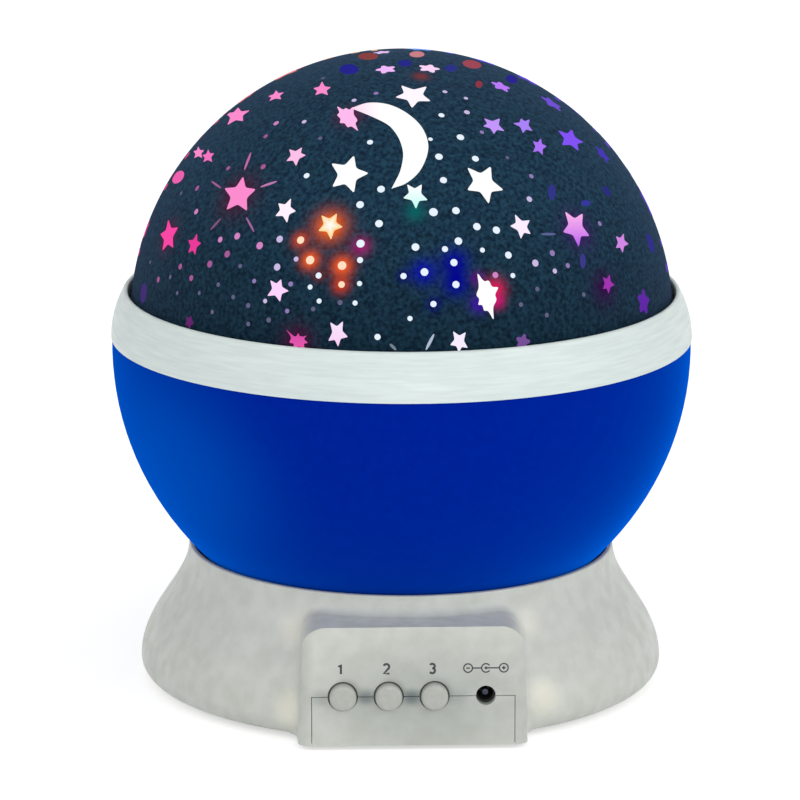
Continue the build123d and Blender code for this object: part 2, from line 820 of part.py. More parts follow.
# ---------------------------------------------------------------- gear motor
with BuildPart() as gear_motor:
    with BuildSketch(Plane((0, pinion_y, deck_bottom - motor_ear))):
        Circle(motor_radius)
    extrude(amount=-motor_height)
    with BuildSketch(Plane((0, pinion_y, deck_bottom - motor_ear))):
        SlotCenterToCenter(2 * motor_ear_reach, motor_ear_width, rotation=90)
        Circle(motor_radius - motor_step)
        with Locations((0, motor_ear_reach), (0, -motor_ear_reach)):
            Circle(screw_hole, mode=Mode.SUBTRACT)
    extrude(amount=motor_ear)
    with BuildSketch(Plane((0, pinion_y, deck_bottom))):
        Circle(motor_nose)
    extrude(amount=deck_wall)
    with BuildSketch(Plane((0, pinion_y, deck_top))):
        Circle(shaft_radius + running_gap)
    extrude(amount=-(deck_wall + motor_height - motor_floor), mode=Mode.SUBTRACT)
    fillet(gear_motor.faces().sort_by(Axis.Z)[0].edges(), motor_edge)
save(gear_motor, "gear_motor")

with BuildPart() as motor_screws:
    with BuildSketch(Plane.XY.offset(deck_bottom - motor_ear)):
        with Locations(*motor_screw_points):
            Circle(head_radius)
    extrude(amount=-head_height)
    with BuildSketch(Plane.XY.offset(deck_bottom - motor_ear)):
        with Locations(*motor_screw_points):
            Circle(screw_shank)
    extrude(amount=motor_ear + deck_wall - thread_gap)
save(motor_screws, "motor_screws")

# ---------------------------------------------------------------- gear train
# Stub teeth with straight flanks. The ring has a space, and the pinion a tooth, on the
# line from the axis to the front, where they mesh.
tooth_half = tooth_share * tooth_module
tooth_slope = tan(radians(pressure_angle))
pinion_tip = pinion_pitch + tooth_addendum * tooth_module
pinion_root = pinion_pitch - tooth_dedendum * tooth_module


def flank(distance):
    """Half thickness of a tooth at a distance outside its pitch line."""
    return tooth_half - distance * tooth_slope


with BuildPart() as ring_gear:
    with BuildSketch(Plane.XY.offset(gear_bottom)):
        Circle(ring_outer)
        Circle(ring_root, mode=Mode.SUBTRACT)
        with PolarLocations(0, ring_teeth, start_angle=-90 + 180 / ring_teeth):
            Polygon(
                (ring_tip, -flank(ring_pitch - ring_tip)),
                (ring_tip, flank(ring_pitch - ring_tip)),
                (ring_root + tooth_root_lap, flank(ring_pitch - ring_root)),
                (ring_root + tooth_root_lap, -flank(ring_pitch - ring_root)),
                align=None,
            )
        with Locations(*gear_screw_points):
            Circle(screw_hole, mode=Mode.SUBTRACT)
    extrude(amount=gear_face)
    with Locations(*[(x, y, gear_bottom) for x, y in gear_screw_points]):
        Cone(
            head_radius + screw_play, screw_hole, head_height, align=standing, mode=Mode.SUBTRACT
        )
save(ring_gear, "ring_gear")

with BuildPart() as ring_gear_screws:
    with Locations(*[(x, y, gear_bottom) for x, y in gear_screw_points]):
        Cone(head_radius, screw_pilot, head_height, align=standing)
    with BuildSketch(Plane.XY.offset(gear_bottom)):
        with Locations(*gear_screw_points):
            Circle(screw_shank)
    extrude(amount=gear_face + bowl_floor_wall + gear_boss_height / 2)
save(ring_gear_screws, "ring_gear_screws")

pinion_face = gear_face - pinion_top_gap
with BuildPart() as pinion:
    with BuildSketch(Plane((0, pinion_y, gear_bottom))):
        Circle(pinion_root)
        with PolarLocations(0, pinion_teeth, start_angle=-90):
            Polygon(
                (pinion_root - tooth_root_lap, -flank(pinion_root - pinion_pitch)),
                (pinion_tip, -flank(pinion_tip - pinion_pitch)),
                (pinion_tip, flank(pinion_tip - pinion_pitch)),
                (pinion_root - tooth_root_lap, flank(pinion_root - pinion_pitch)),
                align=None,
            )
        Circle(shaft_radius + press_gap, mode=Mode.SUBTRACT)
    extrude(amount=pinion_face)
save(pinion, "pinion")

with BuildPart() as motor_shaft:
    with BuildSketch(Plane((0, pinion_y, gear_bottom + pinion_face))):
        Circle(shaft_radius)
    extrude(amount=-(pinion_face + gear_floor_gap + deck_wall + motor_ear + motor_height / 2))
save(motor_shaft, "motor_shaft")

# ---------------------------------------------------------------- spindle and its fixings
led_top = dome_centre + led_rise - led_barrel  # top of the light board
led_bottom = led_top - led_board_wall
spindle_top = led_bottom - holder_plate
flange_top = deck_top + spindle_flange_wall
bush_bottom = flange_top + bush_lift
hub_bottom = bowl_floor - hub_drop
hub_top = bowl_inside + hub_rise
bush_top = hub_top + bush_lift
clip_bottom = bush_top + bush_top_gap

with BuildPart() as spindle:
    with BuildSketch(Plane.XY.offset(deck_top)):
        Circle(spindle_flange)
    extrude(amount=spindle_flange_wall)
    with BuildSketch(Plane.XY.offset(deck_top)):
        Circle(spindle_radius)
    extrude(amount=spindle_top - deck_top)
    with BuildSketch(Plane.XY.offset(deck_top)):
        Circle(spindle_bore)
    extrude(amount=spindle_top - deck_top, mode=Mode.SUBTRACT)
    with BuildSketch(Plane.XY.offset(clip_bottom - clip_gap)):
        Circle(spindle_radius + clip_gap)
        Circle(spindle_radius - clip_groove, mode=Mode.SUBTRACT)
    extrude(amount=clip_wall + 2 * clip_gap, mode=Mode.SUBTRACT)
    with Locations(*[(x, y, flange_top) for x, y in spindle_screw_points]):
        CounterSinkHole(screw_hole, head_radius + screw_play, depth=spindle_flange_wall)
save(spindle, "spindle")

with BuildPart() as spindle_screws:
    with Locations(*[(x, y, flange_top) for x, y in spindle_screw_points]):
        Cone(screw_pilot, head_radius, head_radius - screw_pilot, align=hanging)
        Cylinder(screw_shank, flange_top - boss_bottom - boss_gap, align=hanging)
save(spindle_screws, "spindle_screws")

with BuildPart() as retaining_clip:
    with BuildSketch(Plane.XY.offset(clip_bottom)):
        Circle(clip_radius)
        Circle(spindle_radius - clip_groove + clip_gap, mode=Mode.SUBTRACT)
        Rectangle(
            clip_radius, spindle_radius, align=(Align.MIN, Align.CENTER), mode=Mode.SUBTRACT
        )
    extrude(amount=clip_wall)
save(retaining_clip, "retaining_clip")

# ---------------------------------------------------------------- hub bush
bush_radius = spindle_radius + running_gap + bush_wall
with BuildPart() as hub_bush:
    with BuildSketch(Plane.XY.offset(bush_bottom)):
        Circle(bush_flange)
    extrude(amount=hub_bottom - bush_bottom)
    with BuildSketch(Plane.XY.offset(bush_bottom)):
        Circle(bush_radius)
    extrude(amount=bush_top - bush_bottom)
    with BuildSketch(Plane.XY.offset(bush_bottom)):
        Circle(spindle_radius + running_gap)
    extrude(amount=bush_top - bush_bottom, mode=Mode.SUBTRACT)
save(hub_bush, "hub_bush")

# ---------------------------------------------------------------- bowl
# The core is the space inside the bowl: a sphere with the hub and the bosses left out.
rib_start = collar_screw_circle + collar_boss / 2
with BuildPart() as bowl_core:
    with BuildSketch(Plane.XZ):
        with BuildLine():
            core_ball = ball_radius - bowl_wall
            core_mouth = bowl_rim + tongue_depth
            Line((0, bowl_inside), (ball_width(core_ball, bowl_inside), bowl_inside))
            ball_arc(core_ball, bowl_inside, core_mouth)
            Polyline(
                (ball_width(core_ball, core_mouth), core_mouth), (0, core_mouth), (0, bowl_inside)
            )
        make_face()
    revolve(axis=Axis.Z)
    with BuildSketch(Plane.XY.offset(bowl_inside)):
        Circle(hub_radius)
    extrude(amount=hub_rise, mode=Mode.SUBTRACT)
    with BuildSketch(Plane.XY.offset(bowl_inside)):
        with Locations(*gear_screw_points):
            Circle(gear_boss)
    extrude(amount=gear_boss_height, mode=Mode.SUBTRACT)
    with BuildSketch(Plane.XY.offset(bowl_rim)):
        with Locations(*collar_screw_points):
            Circle(collar_boss)
    extrude(amount=-collar_boss_length, mode=Mode.SUBTRACT)
    with BuildSketch(Plane.XY.offset(bowl_rim - tongue_depth - rib_gap)):
        with PolarLocations(rib_start, len(collar_screw_points), start_angle=30):
            Rectangle(
                ball_radius - rib_start, rib_wall, align=(Align.MIN, Align.CENTER)
            )
    extrude(amount=-collar_boss_length + tongue_depth, mode=Mode.SUBTRACT)

with BuildPart() as bowl:
    with BuildSketch(Plane.XZ):
        with BuildLine():
            Line((0, bowl_floor), (floor_radius, bowl_floor))
            ball_arc(ball_radius, bowl_floor, bowl_rim)
            Polyline((ball_width(ball_radius, bowl_rim), bowl_rim), (0, bowl_rim), (0, bowl_floor))
        make_face()
    revolve(axis=Axis.Z)
    add(bowl_core.part, mode=Mode.SUBTRACT)
    with BuildSketch(Plane.XY.offset(bowl_floor)):
        Circle(hub_radius)
    extrude(amount=-hub_drop)
    with BuildSketch(Plane.XY.offset(hub_bottom)):
        Circle(bush_radius + bush_gap)
    extrude(amount=hub_top - hub_bottom, mode=Mode.SUBTRACT)
    with BuildSketch(Plane.XY.offset(bowl_floor)):
        with Locations(*gear_screw_points):
            Circle(screw_pilot)
    extrude(amount=bowl_floor_wall + gear_boss_height - gear_boss_cap, mode=Mode.SUBTRACT)
    with BuildSketch(Plane.XY.offset(bowl_rim)):
        with Locations(*collar_screw_points):
            Circle(screw_pilot)
    extrude(amount=-(screw_reach + pilot_spare), mode=Mode.SUBTRACT)
save(bowl, "bowl")

# ---------------------------------------------------------------- collar
# The ring hides the joint of bowl and dome. Its tray closes the bowl and leaves an
# opening for the light, and the ledge at the tray's edge carries the dome.
collar_foot = ball_width(ball_radius, bowl_rim) + collar_proud
collar_shoulder = collar_bore + collar_lip
shoulder_height = collar_top - collar_round
tray_top = bowl_rim + tray_wall
with BuildPart() as collar:
    with BuildSketch(Plane.XZ):
        with BuildLine():
            middle = (
                (collar_foot + collar_shoulder) / 2 + collar_bulge,
                (bowl_rim + shoulder_height) / 2,
            )
            ThreePointArc((collar_foot, bowl_rim), middle, (collar_shoulder, shoulder_height))
            Spline(
                (collar_shoulder, shoulder_height),
                (collar_bore + collar_lip / 2, collar_top),
                (collar_bore, collar_top - collar_lip / 2),
                tangents=((-collar_lean, 1.0), (0, -1.0)),
            )
            Polyline(
                (collar_bore, collar_top - collar_lip / 2),
                (collar_bore, dome_seat),
                (ledge_inner, dome_seat),
                (ledge_inner, tray_top),
                (tray_opening + tray_wall, tray_top),
                (tray_opening + tray_wall, tray_top + tray_lip_height),
                (tray_opening, tray_top + tray_lip_height),
                (tray_opening, bowl_rim),
                (tongue_inner, bowl_rim),
                (tongue_inner, bowl_rim - tongue_depth),
                (tongue_outer, bowl_rim - tongue_depth),
                (tongue_outer, bowl_rim),
                (collar_foot, bowl_rim),
            )
        make_face()
    revolve(axis=Axis.Z)
    with BuildSketch(Plane.XY.offset(bowl_rim)):
        with Locations(*collar_screw_points):
            Circle(screw_hole)
    extrude(amount=tray_wall, mode=Mode.SUBTRACT)
save(collar, "collar")

with BuildPart() as collar_screws:
    with BuildSketch(Plane.XY.offset(tray_top)):
        with Locations(*collar_screw_points):
            Circle(head_radius)
    extrude(amount=head_height)
    with BuildSketch(Plane.XY.offset(tray_top)):
        with Locations(*collar_screw_points):
            Circle(screw_shank)
    extrude(amount=-(tray_wall + screw_reach))
save(collar_screws, "collar_screws")

# ---------------------------------------------------------------- star dome
# A hemisphere on a short straight skirt, stiffened by a flange turned inward.
with BuildPart() as star_dome:
    with BuildSketch(Plane.XZ):
        with BuildLine():
            dome_inner = dome_radius - dome_wall
            flange_top = dome_bottom + dome_wall
            flange_angle = degrees(asin((flange_top - dome_centre) / dome_inner))
            Line((dome_radius, dome_bottom), (dome_radius, dome_centre))
            CenterArc((0, dome_centre), dome_radius, 0, 90)
            Line((0, dome_centre + dome_radius), (0, dome_centre + dome_inner))
            inside = CenterArc((0, dome_centre), dome_inner, flange_angle, 90 - flange_angle)
            Polyline(
                inside @ 0,
                (dome_inner - dome_flange, flange_top),
                (dome_inner - dome_flange, dome_bottom),
                (dome_radius, dome_bottom),
            )
        make_face()
    revolve(axis=Axis.Z)
save(star_dome, "star_dome")

# ---------------------------------------------------------------- light source
holder_bore = spindle_radius + holder_gap
socket_radius = holder_bore + holder_wall
with BuildPart() as led_holder:
    with BuildSketch(Plane.XY.offset(spindle_top - holder_socket)):
        Circle(socket_radius)
    extrude(amount=holder_socket)
    for step in range(gusset_count):
        with BuildSketch(Plane.XZ.rotated((0, 0, 360 / gusset_count * (step + 0.5)))):
            Polygon(
                (spindle_radius + holder_wall, spindle_top),
                (spindle_radius + holder_wall, spindle_top - gusset_drop),
                (socket_radius + gusset_reach, spindle_top),
                align=None,
            )
        extrude(amount=gusset_wall / 2, both=True)
    with BuildSketch(Plane.XY.offset(spindle_top)):
        Circle(led_board_radius + fit_gap + holder_rim)
    extrude(amount=holder_plate + holder_rim_height)
    with BuildSketch(Plane.XY.offset(led_bottom)):
        Circle(led_board_radius + fit_gap)
    extrude(amount=holder_rim_height, mode=Mode.SUBTRACT)
    with BuildSketch(Plane.XY.offset(spindle_top - holder_socket)):
        Circle(holder_bore)
    extrude(amount=holder_socket, mode=Mode.SUBTRACT)
    with BuildSketch(Plane.XY.offset(spindle_top)):
        Circle(spindle_bore)
    extrude(amount=holder_plate, mode=Mode.SUBTRACT)
save(led_holder, "led_holder")

with BuildPart() as led_board:
    with BuildSketch(Plane.XY.offset(led_bottom)):
        Circle(led_board_radius)
    extrude(amount=led_board_wall)
save(led_board, "led_board")

led_names = ("led_warm", "led_red", "led_green", "led_blue")
for name, point in zip(led_names, around(led_circle, (45, 135, 225, 315))):
    with BuildPart() as led:
        with BuildSketch(Plane((*point, led_top))):
            Circle(led_radius + led_flange)
        extrude(amount=led_flange_wall)
        with BuildSketch(Plane((*point, led_top))):
            Circle(led_radius)
        extrude(amount=led_barrel)
        with Locations((*point, led_top + led_barrel)):
            Sphere(led_radius)
    save(led, name)

# ---------------------------------------------------------------- inner leads
# Each route is straight runs joined by bends of one radius.
lead_height = (bay_top + deck_bottom) / 2
motor_side = pinion_y - sqrt(motor_radius**2 - (motor_lead_x + lead_radius) ** 2)
lead_routes = {
    "led_lead": (
        [
            (0, 0, led_bottom),
            (0, 0, lead_height),
            (jack_x, led_lead_turn, lead_height),
            (jack_x, board_back, lead_height),
        ],
        led_lead_bend,
        led_lead_radius,
    ),
    "motor_lead": (
        [
            (motor_lead_x, motor_side, motor_lead_height),
            (motor_lead_x, board_back + motor_lead_slack, motor_lead_height),
            (motor_lead_x, board_back + motor_lead_slack, lead_height),
            (motor_lead_x, board_back, lead_height),
        ],
        motor_lead_bend,
        lead_radius,
    ),
    "battery_lead": (
        [
            (battery_lead_x, bay_front - bay_wall, cell_height),
            (battery_lead_x, board_back + battery_lead_turn, cell_height),
            (battery_lead_end, board_back + battery_lead_slack, cell_height),
            (battery_lead_end, board_back, cell_height),
        ],
        battery_lead_bend,
        lead_radius,
    ),
}
for name, (points, bend, radius) in lead_routes.items():
    with BuildPart() as lead:
        with BuildLine() as route:
            FilletPolyline(*points, radius=bend)
        with BuildSketch(route.line ^ 0):
            Circle(radius)
        sweep()
    save(lead, name)
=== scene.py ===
import json
import logging
import math
from dataclasses import dataclass, replace
from enum import Enum

import bmesh
import bpy
import numpy as np
from mathutils import Matrix, Vector


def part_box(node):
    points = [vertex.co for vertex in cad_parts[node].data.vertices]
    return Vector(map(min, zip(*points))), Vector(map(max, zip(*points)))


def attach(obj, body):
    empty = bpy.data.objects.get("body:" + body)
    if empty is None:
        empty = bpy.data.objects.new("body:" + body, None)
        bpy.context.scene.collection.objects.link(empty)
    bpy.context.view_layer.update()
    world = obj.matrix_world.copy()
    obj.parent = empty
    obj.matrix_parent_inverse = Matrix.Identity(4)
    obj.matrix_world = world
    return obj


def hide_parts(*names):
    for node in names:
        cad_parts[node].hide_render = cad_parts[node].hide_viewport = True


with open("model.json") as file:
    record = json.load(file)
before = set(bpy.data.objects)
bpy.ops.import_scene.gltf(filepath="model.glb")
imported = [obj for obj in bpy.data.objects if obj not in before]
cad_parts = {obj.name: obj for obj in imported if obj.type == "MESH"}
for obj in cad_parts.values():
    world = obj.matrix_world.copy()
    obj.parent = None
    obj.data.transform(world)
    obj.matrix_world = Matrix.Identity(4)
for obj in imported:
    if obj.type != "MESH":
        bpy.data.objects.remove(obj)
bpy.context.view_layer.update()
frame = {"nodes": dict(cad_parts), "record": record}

# A rotating star night light: the moulded frame with its finishes, the fine shell of the star dome
# with its lit windows, the marks over the buttons and the studio around it. Metres, as the frame.

log = logging.getLogger("night_light")
MM = 0.001
RGB = tuple[int, int, int]
Pixel = tuple[float, float]


# ---------------------------------------------------------------- colour and mesh helpers
def light_of(colour: RGB) -> np.ndarray:
    """Turns a display colour into linear light.

    Below 0.04045 a channel is divided by 12.92, above it ((c + 0.055) / 1.055) is raised to 2.4.

    Args:
        colour: red, green and blue from 0 to 255.

    Returns:
        Red, green, blue and an alpha of 1.
    """
    share = np.asarray(colour, float) / 255
    linear = np.where(share <= 0.04045, share / 12.92, ((share + 0.055) / 1.055) ** 2.4)
    return np.append(linear, 1.0)


def unit(vectors: np.ndarray) -> np.ndarray:
    """Divides each vector of the last axis by its length."""
    return vectors / np.linalg.norm(vectors, axis=-1, keepdims=True)


def smooth_line(points: tuple[Pixel, ...], count: int) -> np.ndarray:
    """Draws a smooth line through points.

    A Catmull-Rom cubic: between two points it leaves each along the line that joins its neighbours.

    Args:
        points: the points on the line, in order.
        count: how many points come back, evenly spread over the spans.

    Returns:
        Array of count points.
    """
    knots = np.asarray(points, float)
    knots = np.vstack((2 * knots[0] - knots[1], knots, 2 * knots[-1] - knots[-2]))
    place = np.linspace(0, len(knots) - 3, count)
    span = np.minimum(place.astype(int), len(knots) - 4)
    t = (place - span)[:, None]
    before, start, end, after = (knots[span + step] for step in range(4))
    slope_start, slope_end = (end - before) / 2, (after - start) / 2
    return (
        (2 * t**3 - 3 * t**2 + 1) * start
        + (t**3 - 2 * t**2 + t) * slope_start
        + (3 * t**2 - 2 * t**3) * end
        + (t**3 - t**2) * slope_end
    )


def grid_quads(rows: int, columns: int, closed: bool) -> np.ndarray:
    """Numbers the quads of a grid whose points are counted row by row.

    Args:
        rows: number of rows.
        columns: points in a row.
        closed: the last column joins the first one.

    Returns:
        Array of four point numbers for each quad.
    """
    row, column = np.meshgrid(
        np.arange(rows - 1), np.arange(columns if closed else columns - 1), indexing="ij"
    )
    following = (column + 1) % columns
    corners = (
        row * columns + column,
        row * columns + following,
        (row + 1) * columns + following,
        (row + 1) * columns + column,
    )
    return np.stack(corners, -1).reshape(-1, 4)


def make_piece(
    name: str, points: np.ndarray, *faces: np.ndarray, smooth: bool = True
) -> bpy.types.Object:
    """Puts points and faces into a new object at the origin.

    Args:
        name: the piece's name.
        points: array of places in metres.
        faces: arrays of point numbers, each of one face size.
        smooth: shade the faces smoothly.

    Returns:
        The new object, linked to the scene.
    """
    mesh = bpy.data.meshes.new(name)
    mesh.from_pydata(points.tolist(), [], [face for block in faces for face in block.tolist()])
    mesh.polygons.foreach_set("use_smooth", np.full(len(mesh.polygons), smooth))
    mesh.update()
    piece = bpy.data.objects.new(name, mesh)
    bpy.context.scene.collection.objects.link(piece)
    return piece


def welded(points: np.ndarray, quads: np.ndarray) -> tuple[np.ndarray, np.ndarray, np.ndarray]:
    """Joins points that share a place, so that a quad which loses a side becomes a triangle.

    Args:
        points: array of places in metres.
        quads: array of four point numbers for each quad.

    Returns:
        The points that are left, the quads and the triangles.
    """
    left, number = np.unique(points.round(9) + 0.0, axis=0, return_inverse=True)
    quads = number.reshape(-1)[quads]
    same = quads == np.roll(quads, -1, axis=1)
    triangles = [quads[same[:, side] & (same.sum(axis=1) == 1)] for side in range(4)]
    kept = [np.delete(block, side, axis=1) for side, block in enumerate(triangles)]
    return left, quads[~same.any(axis=1)], np.vstack(kept)


def face_outwards(piece: bpy.types.Object) -> None:
    """Turns every face of a closed piece outwards."""
    shape = bmesh.new()
    shape.from_mesh(piece.data)
    bmesh.ops.recalc_face_normals(shape, faces=shape.faces)
    shape.to_mesh(piece.data)
    shape.free()


def turned_piece(
    name: str, profile: np.ndarray, segments: int, sharp_angle: float = 35.0
) -> bpy.types.Object:
    """Turns a closed profile about the upright axis.

    Point (r, z) of the profile at angle a lies at (r cos a, r sin a, z).

    Args:
        name: the piece's name.
        profile: closed outline of radius and height, outside upwards, in millimetres.
        segments: points round the axis.
        sharp_angle: edges with a larger angle than this, in degrees, stay sharp.

    Returns:
        The new object.
    """
    angle = np.linspace(0, 2 * math.pi, segments, endpoint=False)
    radius, height = profile[:, :1], profile[:, 1:]
    points = np.stack(
        (radius * np.cos(angle), radius * np.sin(angle), height + 0 * angle), -1
    ).reshape(-1, 3)
    quads = grid_quads(len(profile) + 1, segments, True) % len(points)
    piece = make_piece(name, *welded(points * MM, quads))
    piece.data.set_sharp_from_angle(angle=math.radians(sharp_angle))
    return piece


def store_colours(piece: bpy.types.Object, name: str, colours: np.ndarray) -> None:
    """Stores one linear colour for each point of a piece under an attribute's name."""
    layer = piece.data.attributes.new(name, "FLOAT_COLOR", "POINT")
    layer.data.foreach_set("color", np.ascontiguousarray(colours, np.float32).ravel())


# ---------------------------------------------------------------- node helpers
def feed(tree: bpy.types.NodeTree, node: bpy.types.Node, inputs: dict[str | int, object]) -> None:
    """Gives a node's inputs their values, or links them to the sockets given."""
    for label, value in inputs.items():
        if isinstance(value, bpy.types.NodeSocket):
            tree.links.new(value, node.inputs[label])
        else:
            node.inputs[label].default_value = value


def add_node(
    tree: bpy.types.NodeTree, kind: str, inputs: dict[str | int, object], **settings: object
) -> bpy.types.Node:
    """Adds a shader node, sets it up and feeds its inputs.

    Args:
        tree: the tree that gets the node.
        kind: the node's type, without the words ShaderNode.
        inputs: for each input, by name or number, a value or a socket.
        settings: the node's own settings.

    Returns:
        The new node.
    """
    node = tree.nodes.new(f"ShaderNode{kind}")
    for name, value in settings.items():
        setattr(node, name, value)
    feed(tree, node, inputs)
    return node


def new_material(name: str) -> tuple[bpy.types.Material, bpy.types.NodeTree, bpy.types.Node]:
    """Starts a material and gives it with its node tree and its surface shader."""
    material = bpy.data.materials.new(name)
    material.use_nodes = True
    return material, material.node_tree, material.node_tree.nodes["Principled BSDF"]


# ---------------------------------------------------------------- camera
@dataclass
class LampCamera:
    """The camera: a long lens a little above the lamp and a little to its left.

    Attributes:
        distance: from the ball's middle height on the axis, metres.
        elevation: above the horizon, degrees.
        azimuth: round the lamp, degrees, positive to its right.
        roll: clockwise turn of the picture, degrees.
        focal: focal length in picture pixels.
        picture: side of the square picture, pixels.
        ball_height: height of the ball's middle, metres.
        aim: the place at the picture's centre, metres.
    """

    distance: float = 1.300
    elevation: float = 13.7
    azimuth: float = -2.8
    roll: float = 0.2
    focal: float = 5774.0
    picture: float = 800.0
    ball_height: float = 0.071
    aim: tuple[float, float, float] = (-0.0003, 0.0, 0.0638)

    def __post_init__(self) -> None:
        """Works out the eye and the picture's three directions."""
        rise, turn, roll = (math.radians(a) for a in (self.elevation, self.azimuth, self.roll))
        level_share = math.cos(rise)
        back = np.array((math.sin(turn) * level_share, -math.cos(turn) * level_share, math.sin(rise)))
        self.eye = np.array((0, 0, self.ball_height)) + self.distance * back
        self.forward = unit(np.array(self.aim) - self.eye)
        level = unit(np.cross(self.forward, (0, 0, 1)))
        upright = np.cross(level, self.forward)
        self.right = level * math.cos(roll) + upright * math.sin(roll)
        self.up = upright * math.cos(roll) - level * math.sin(roll)

    def build(self) -> None:
        """Makes the camera object and gives it to the scene."""
        lens = bpy.data.cameras.new("lamp_camera")
        lens.sensor_width = 36.0
        lens.lens = self.focal * lens.sensor_width / self.picture
        lens.clip_start, lens.clip_end = 0.01, 100.0
        camera = bpy.data.objects.new("lamp_camera", lens)
        turn = Matrix((self.right, self.up, -self.forward)).transposed()
        camera.matrix_world = Matrix.Translation(self.eye) @ turn.to_4x4()
        bpy.context.scene.collection.objects.link(camera)
        bpy.context.scene.camera = camera

    def rays(self, pixels: np.ndarray) -> np.ndarray:
        """Gives the unit directions from the eye through picture pixels.

        forward times the focal length, plus right times x and minus up times y from the centre.
        """
        across = pixels[..., :1] - self.picture / 2
        down = pixels[..., 1:] - self.picture / 2
        return unit(self.forward * self.focal + self.right * across - self.up * down)

    def on_ball(
        self, pixels: np.ndarray, centre: np.ndarray, radius: float, limb: float = 0.992
    ) -> np.ndarray:
        """Finds where picture pixels meet a ball.

        A ray's sine from the line to the ball's centre is held under limb times that of the
        silhouette; the nearer root of the ray's quadratic with the ball is the place.

        Args:
            pixels: array of picture places.
            centre: the ball's centre, metres.
            radius: the ball's radius, metres.
            limb: share of the silhouette that is used.

        Returns:
            Unit directions from the ball's centre.
        """
        offset = centre - self.eye
        reach = np.linalg.norm(offset)
        axis = offset / reach
        ray = self.rays(pixels)
        aside = ray - (ray @ axis)[..., None] * axis
        sine = np.linalg.norm(aside, axis=-1, keepdims=True)
        held = np.minimum(sine, limb * radius / reach)
        ray = axis * np.sqrt(1 - held**2) + aside / np.maximum(sine, 1e-12) * held
        along = reach * np.sqrt(1 - held**2) - np.sqrt(radius**2 - (reach * held) ** 2)
        return unit(self.eye + ray * along - centre)


# ---------------------------------------------------------------- shader groups
class Pattern(Enum):
    """The procedural patterns that several finishes share."""

    GRAIN = "fine moulding grain"
    STREAKS = "level flow streaks"
    # Soft spots of painted light and shade: painted shadows, shades, highlights and reflections
    PAINTED_LIGHT = "soft local stain"
    SCRATCHES = "handling scratches"


class PatternGroups:
    """Builds each pattern's node group once and places it in materials."""

    def __init__(self) -> None:
        """Builds every group."""
        builders = {
            Pattern.GRAIN: self._grain,
            Pattern.STREAKS: self._streaks,
            Pattern.PAINTED_LIGHT: self._painted_spot_group,
            Pattern.SCRATCHES: self._scratches,
        }
        self.trees = {pattern: build(pattern.value) for pattern, build in builders.items()}

    @staticmethod
    def _tree(name: str, inputs: dict[str, tuple[str, object]], output: str) -> tuple:
        """Starts a node group.

        Args:
            name: the group's name.
            inputs: for each input its socket type and its value.
            output: name of its one value output.

        Returns:
            The tree, its input node and its output node.
        """
        tree = bpy.data.node_groups.new(name, "ShaderNodeTree")
        for label, (kind, value) in inputs.items():
            socket = tree.interface.new_socket(label, in_out="INPUT", socket_type=kind)
            socket.default_value = value
        tree.interface.new_socket(output, in_out="OUTPUT", socket_type="NodeSocketFloat")
        return tree, tree.nodes.new("NodeGroupInput"), tree.nodes.new("NodeGroupOutput")

    def _noise_group(
        self, name: str, stretch: tuple[float, float, float], scale: float, detail: float
    ) -> bpy.types.NodeTree:
        """Builds a group that puts out noise, stretched along the axes, between two named levels.

        Args:
            name: the group's name.
            stretch: scale along x, y and z.
            scale: noise cells in a metre.
            detail: number of finer layers.

        Returns:
            The group.
        """
        inputs = {
            "Scale": ("NodeSocketFloat", scale),
            "Low": ("NodeSocketFloat", 0.35),
            "High": ("NodeSocketFloat", 0.65),
        }
        tree, entry, leave = self._tree(name, inputs, "Mask")
        named = entry.outputs
        place = add_node(tree, "TexCoord", {})
        mapping = add_node(tree, "Mapping", {"Vector": place.outputs["Object"], "Scale": stretch})
        noise = add_node(
            tree,
            "TexNoise",
            {"Vector": mapping.outputs["Vector"], "Scale": named["Scale"], "Detail": detail},
        )
        levels = {"Value": noise.outputs["Fac"], "From Min": named["Low"], "From Max": named["High"]}
        spread = add_node(tree, "MapRange", levels)
        feed(tree, leave, {"Mask": spread.outputs["Result"]})
        return tree

    def _grain(self, name: str) -> bpy.types.NodeTree:
        """Builds even noise: the fine mottle of a moulded or printed surface."""
        return self._noise_group(name, (1, 1, 1), 900, 4)

    def _streaks(self, name: str) -> bpy.types.NodeTree:
        """Builds noise drawn out level, as flow lines in the plastic."""
        return self._noise_group(name, (0.07, 0.07, 1), 900, 3)

    def _scratches(self, name: str) -> bpy.types.NodeTree:
        """Builds noise drawn out upright and slanting, as light handling marks."""
        return self._noise_group(name, (1, 0.6, 0.12), 1400, 2)

    def _painted_spot_group(self, name: str) -> bpy.types.NodeTree:
        """Builds the mask of a soft spot of painted light and shade: 1 at its point, falling to 0 at its
        reach along each axis.
        """
        inputs = {
            "Point": ("NodeSocketVector", (0, 0, 0)),
            "Reach": ("NodeSocketVector", (0.002, 0.002, 0.002)),
        }
        tree, entry, leave = self._tree(name, inputs, "Mask")
        named = entry.outputs
        place = add_node(tree, "TexCoord", {}).outputs["Object"]
        offset = add_node(tree, "VectorMath", {0: place, 1: named["Point"]}, operation="SUBTRACT")
        away = offset.outputs["Vector"]
        share = add_node(tree, "VectorMath", {0: away, 1: named["Reach"]}, operation="DIVIDE")
        length = add_node(tree, "VectorMath", {0: share.outputs["Vector"]}, operation="LENGTH")
        fall = add_node(
            tree,
            "MapRange",
            {"Value": length.outputs["Value"], "From Min": 1.0, "From Max": 0.0},
            interpolation_type="SMOOTHERSTEP",
        )
        feed(tree, leave, {"Mask": fall.outputs["Result"]})
        return tree

    def place(
        self, tree: bpy.types.NodeTree, pattern: Pattern, **values: object
    ) -> bpy.types.NodeSocket:
        """Places a pattern in a material with its own values.

        Args:
            tree: the material's node tree.
            pattern: which pattern.
            values: input values by name.

        Returns:
            The pattern's output socket.
        """
        return add_node(tree, "Group", values, node_tree=self.trees[pattern]).outputs["Mask"]


patterns = PatternGroups()


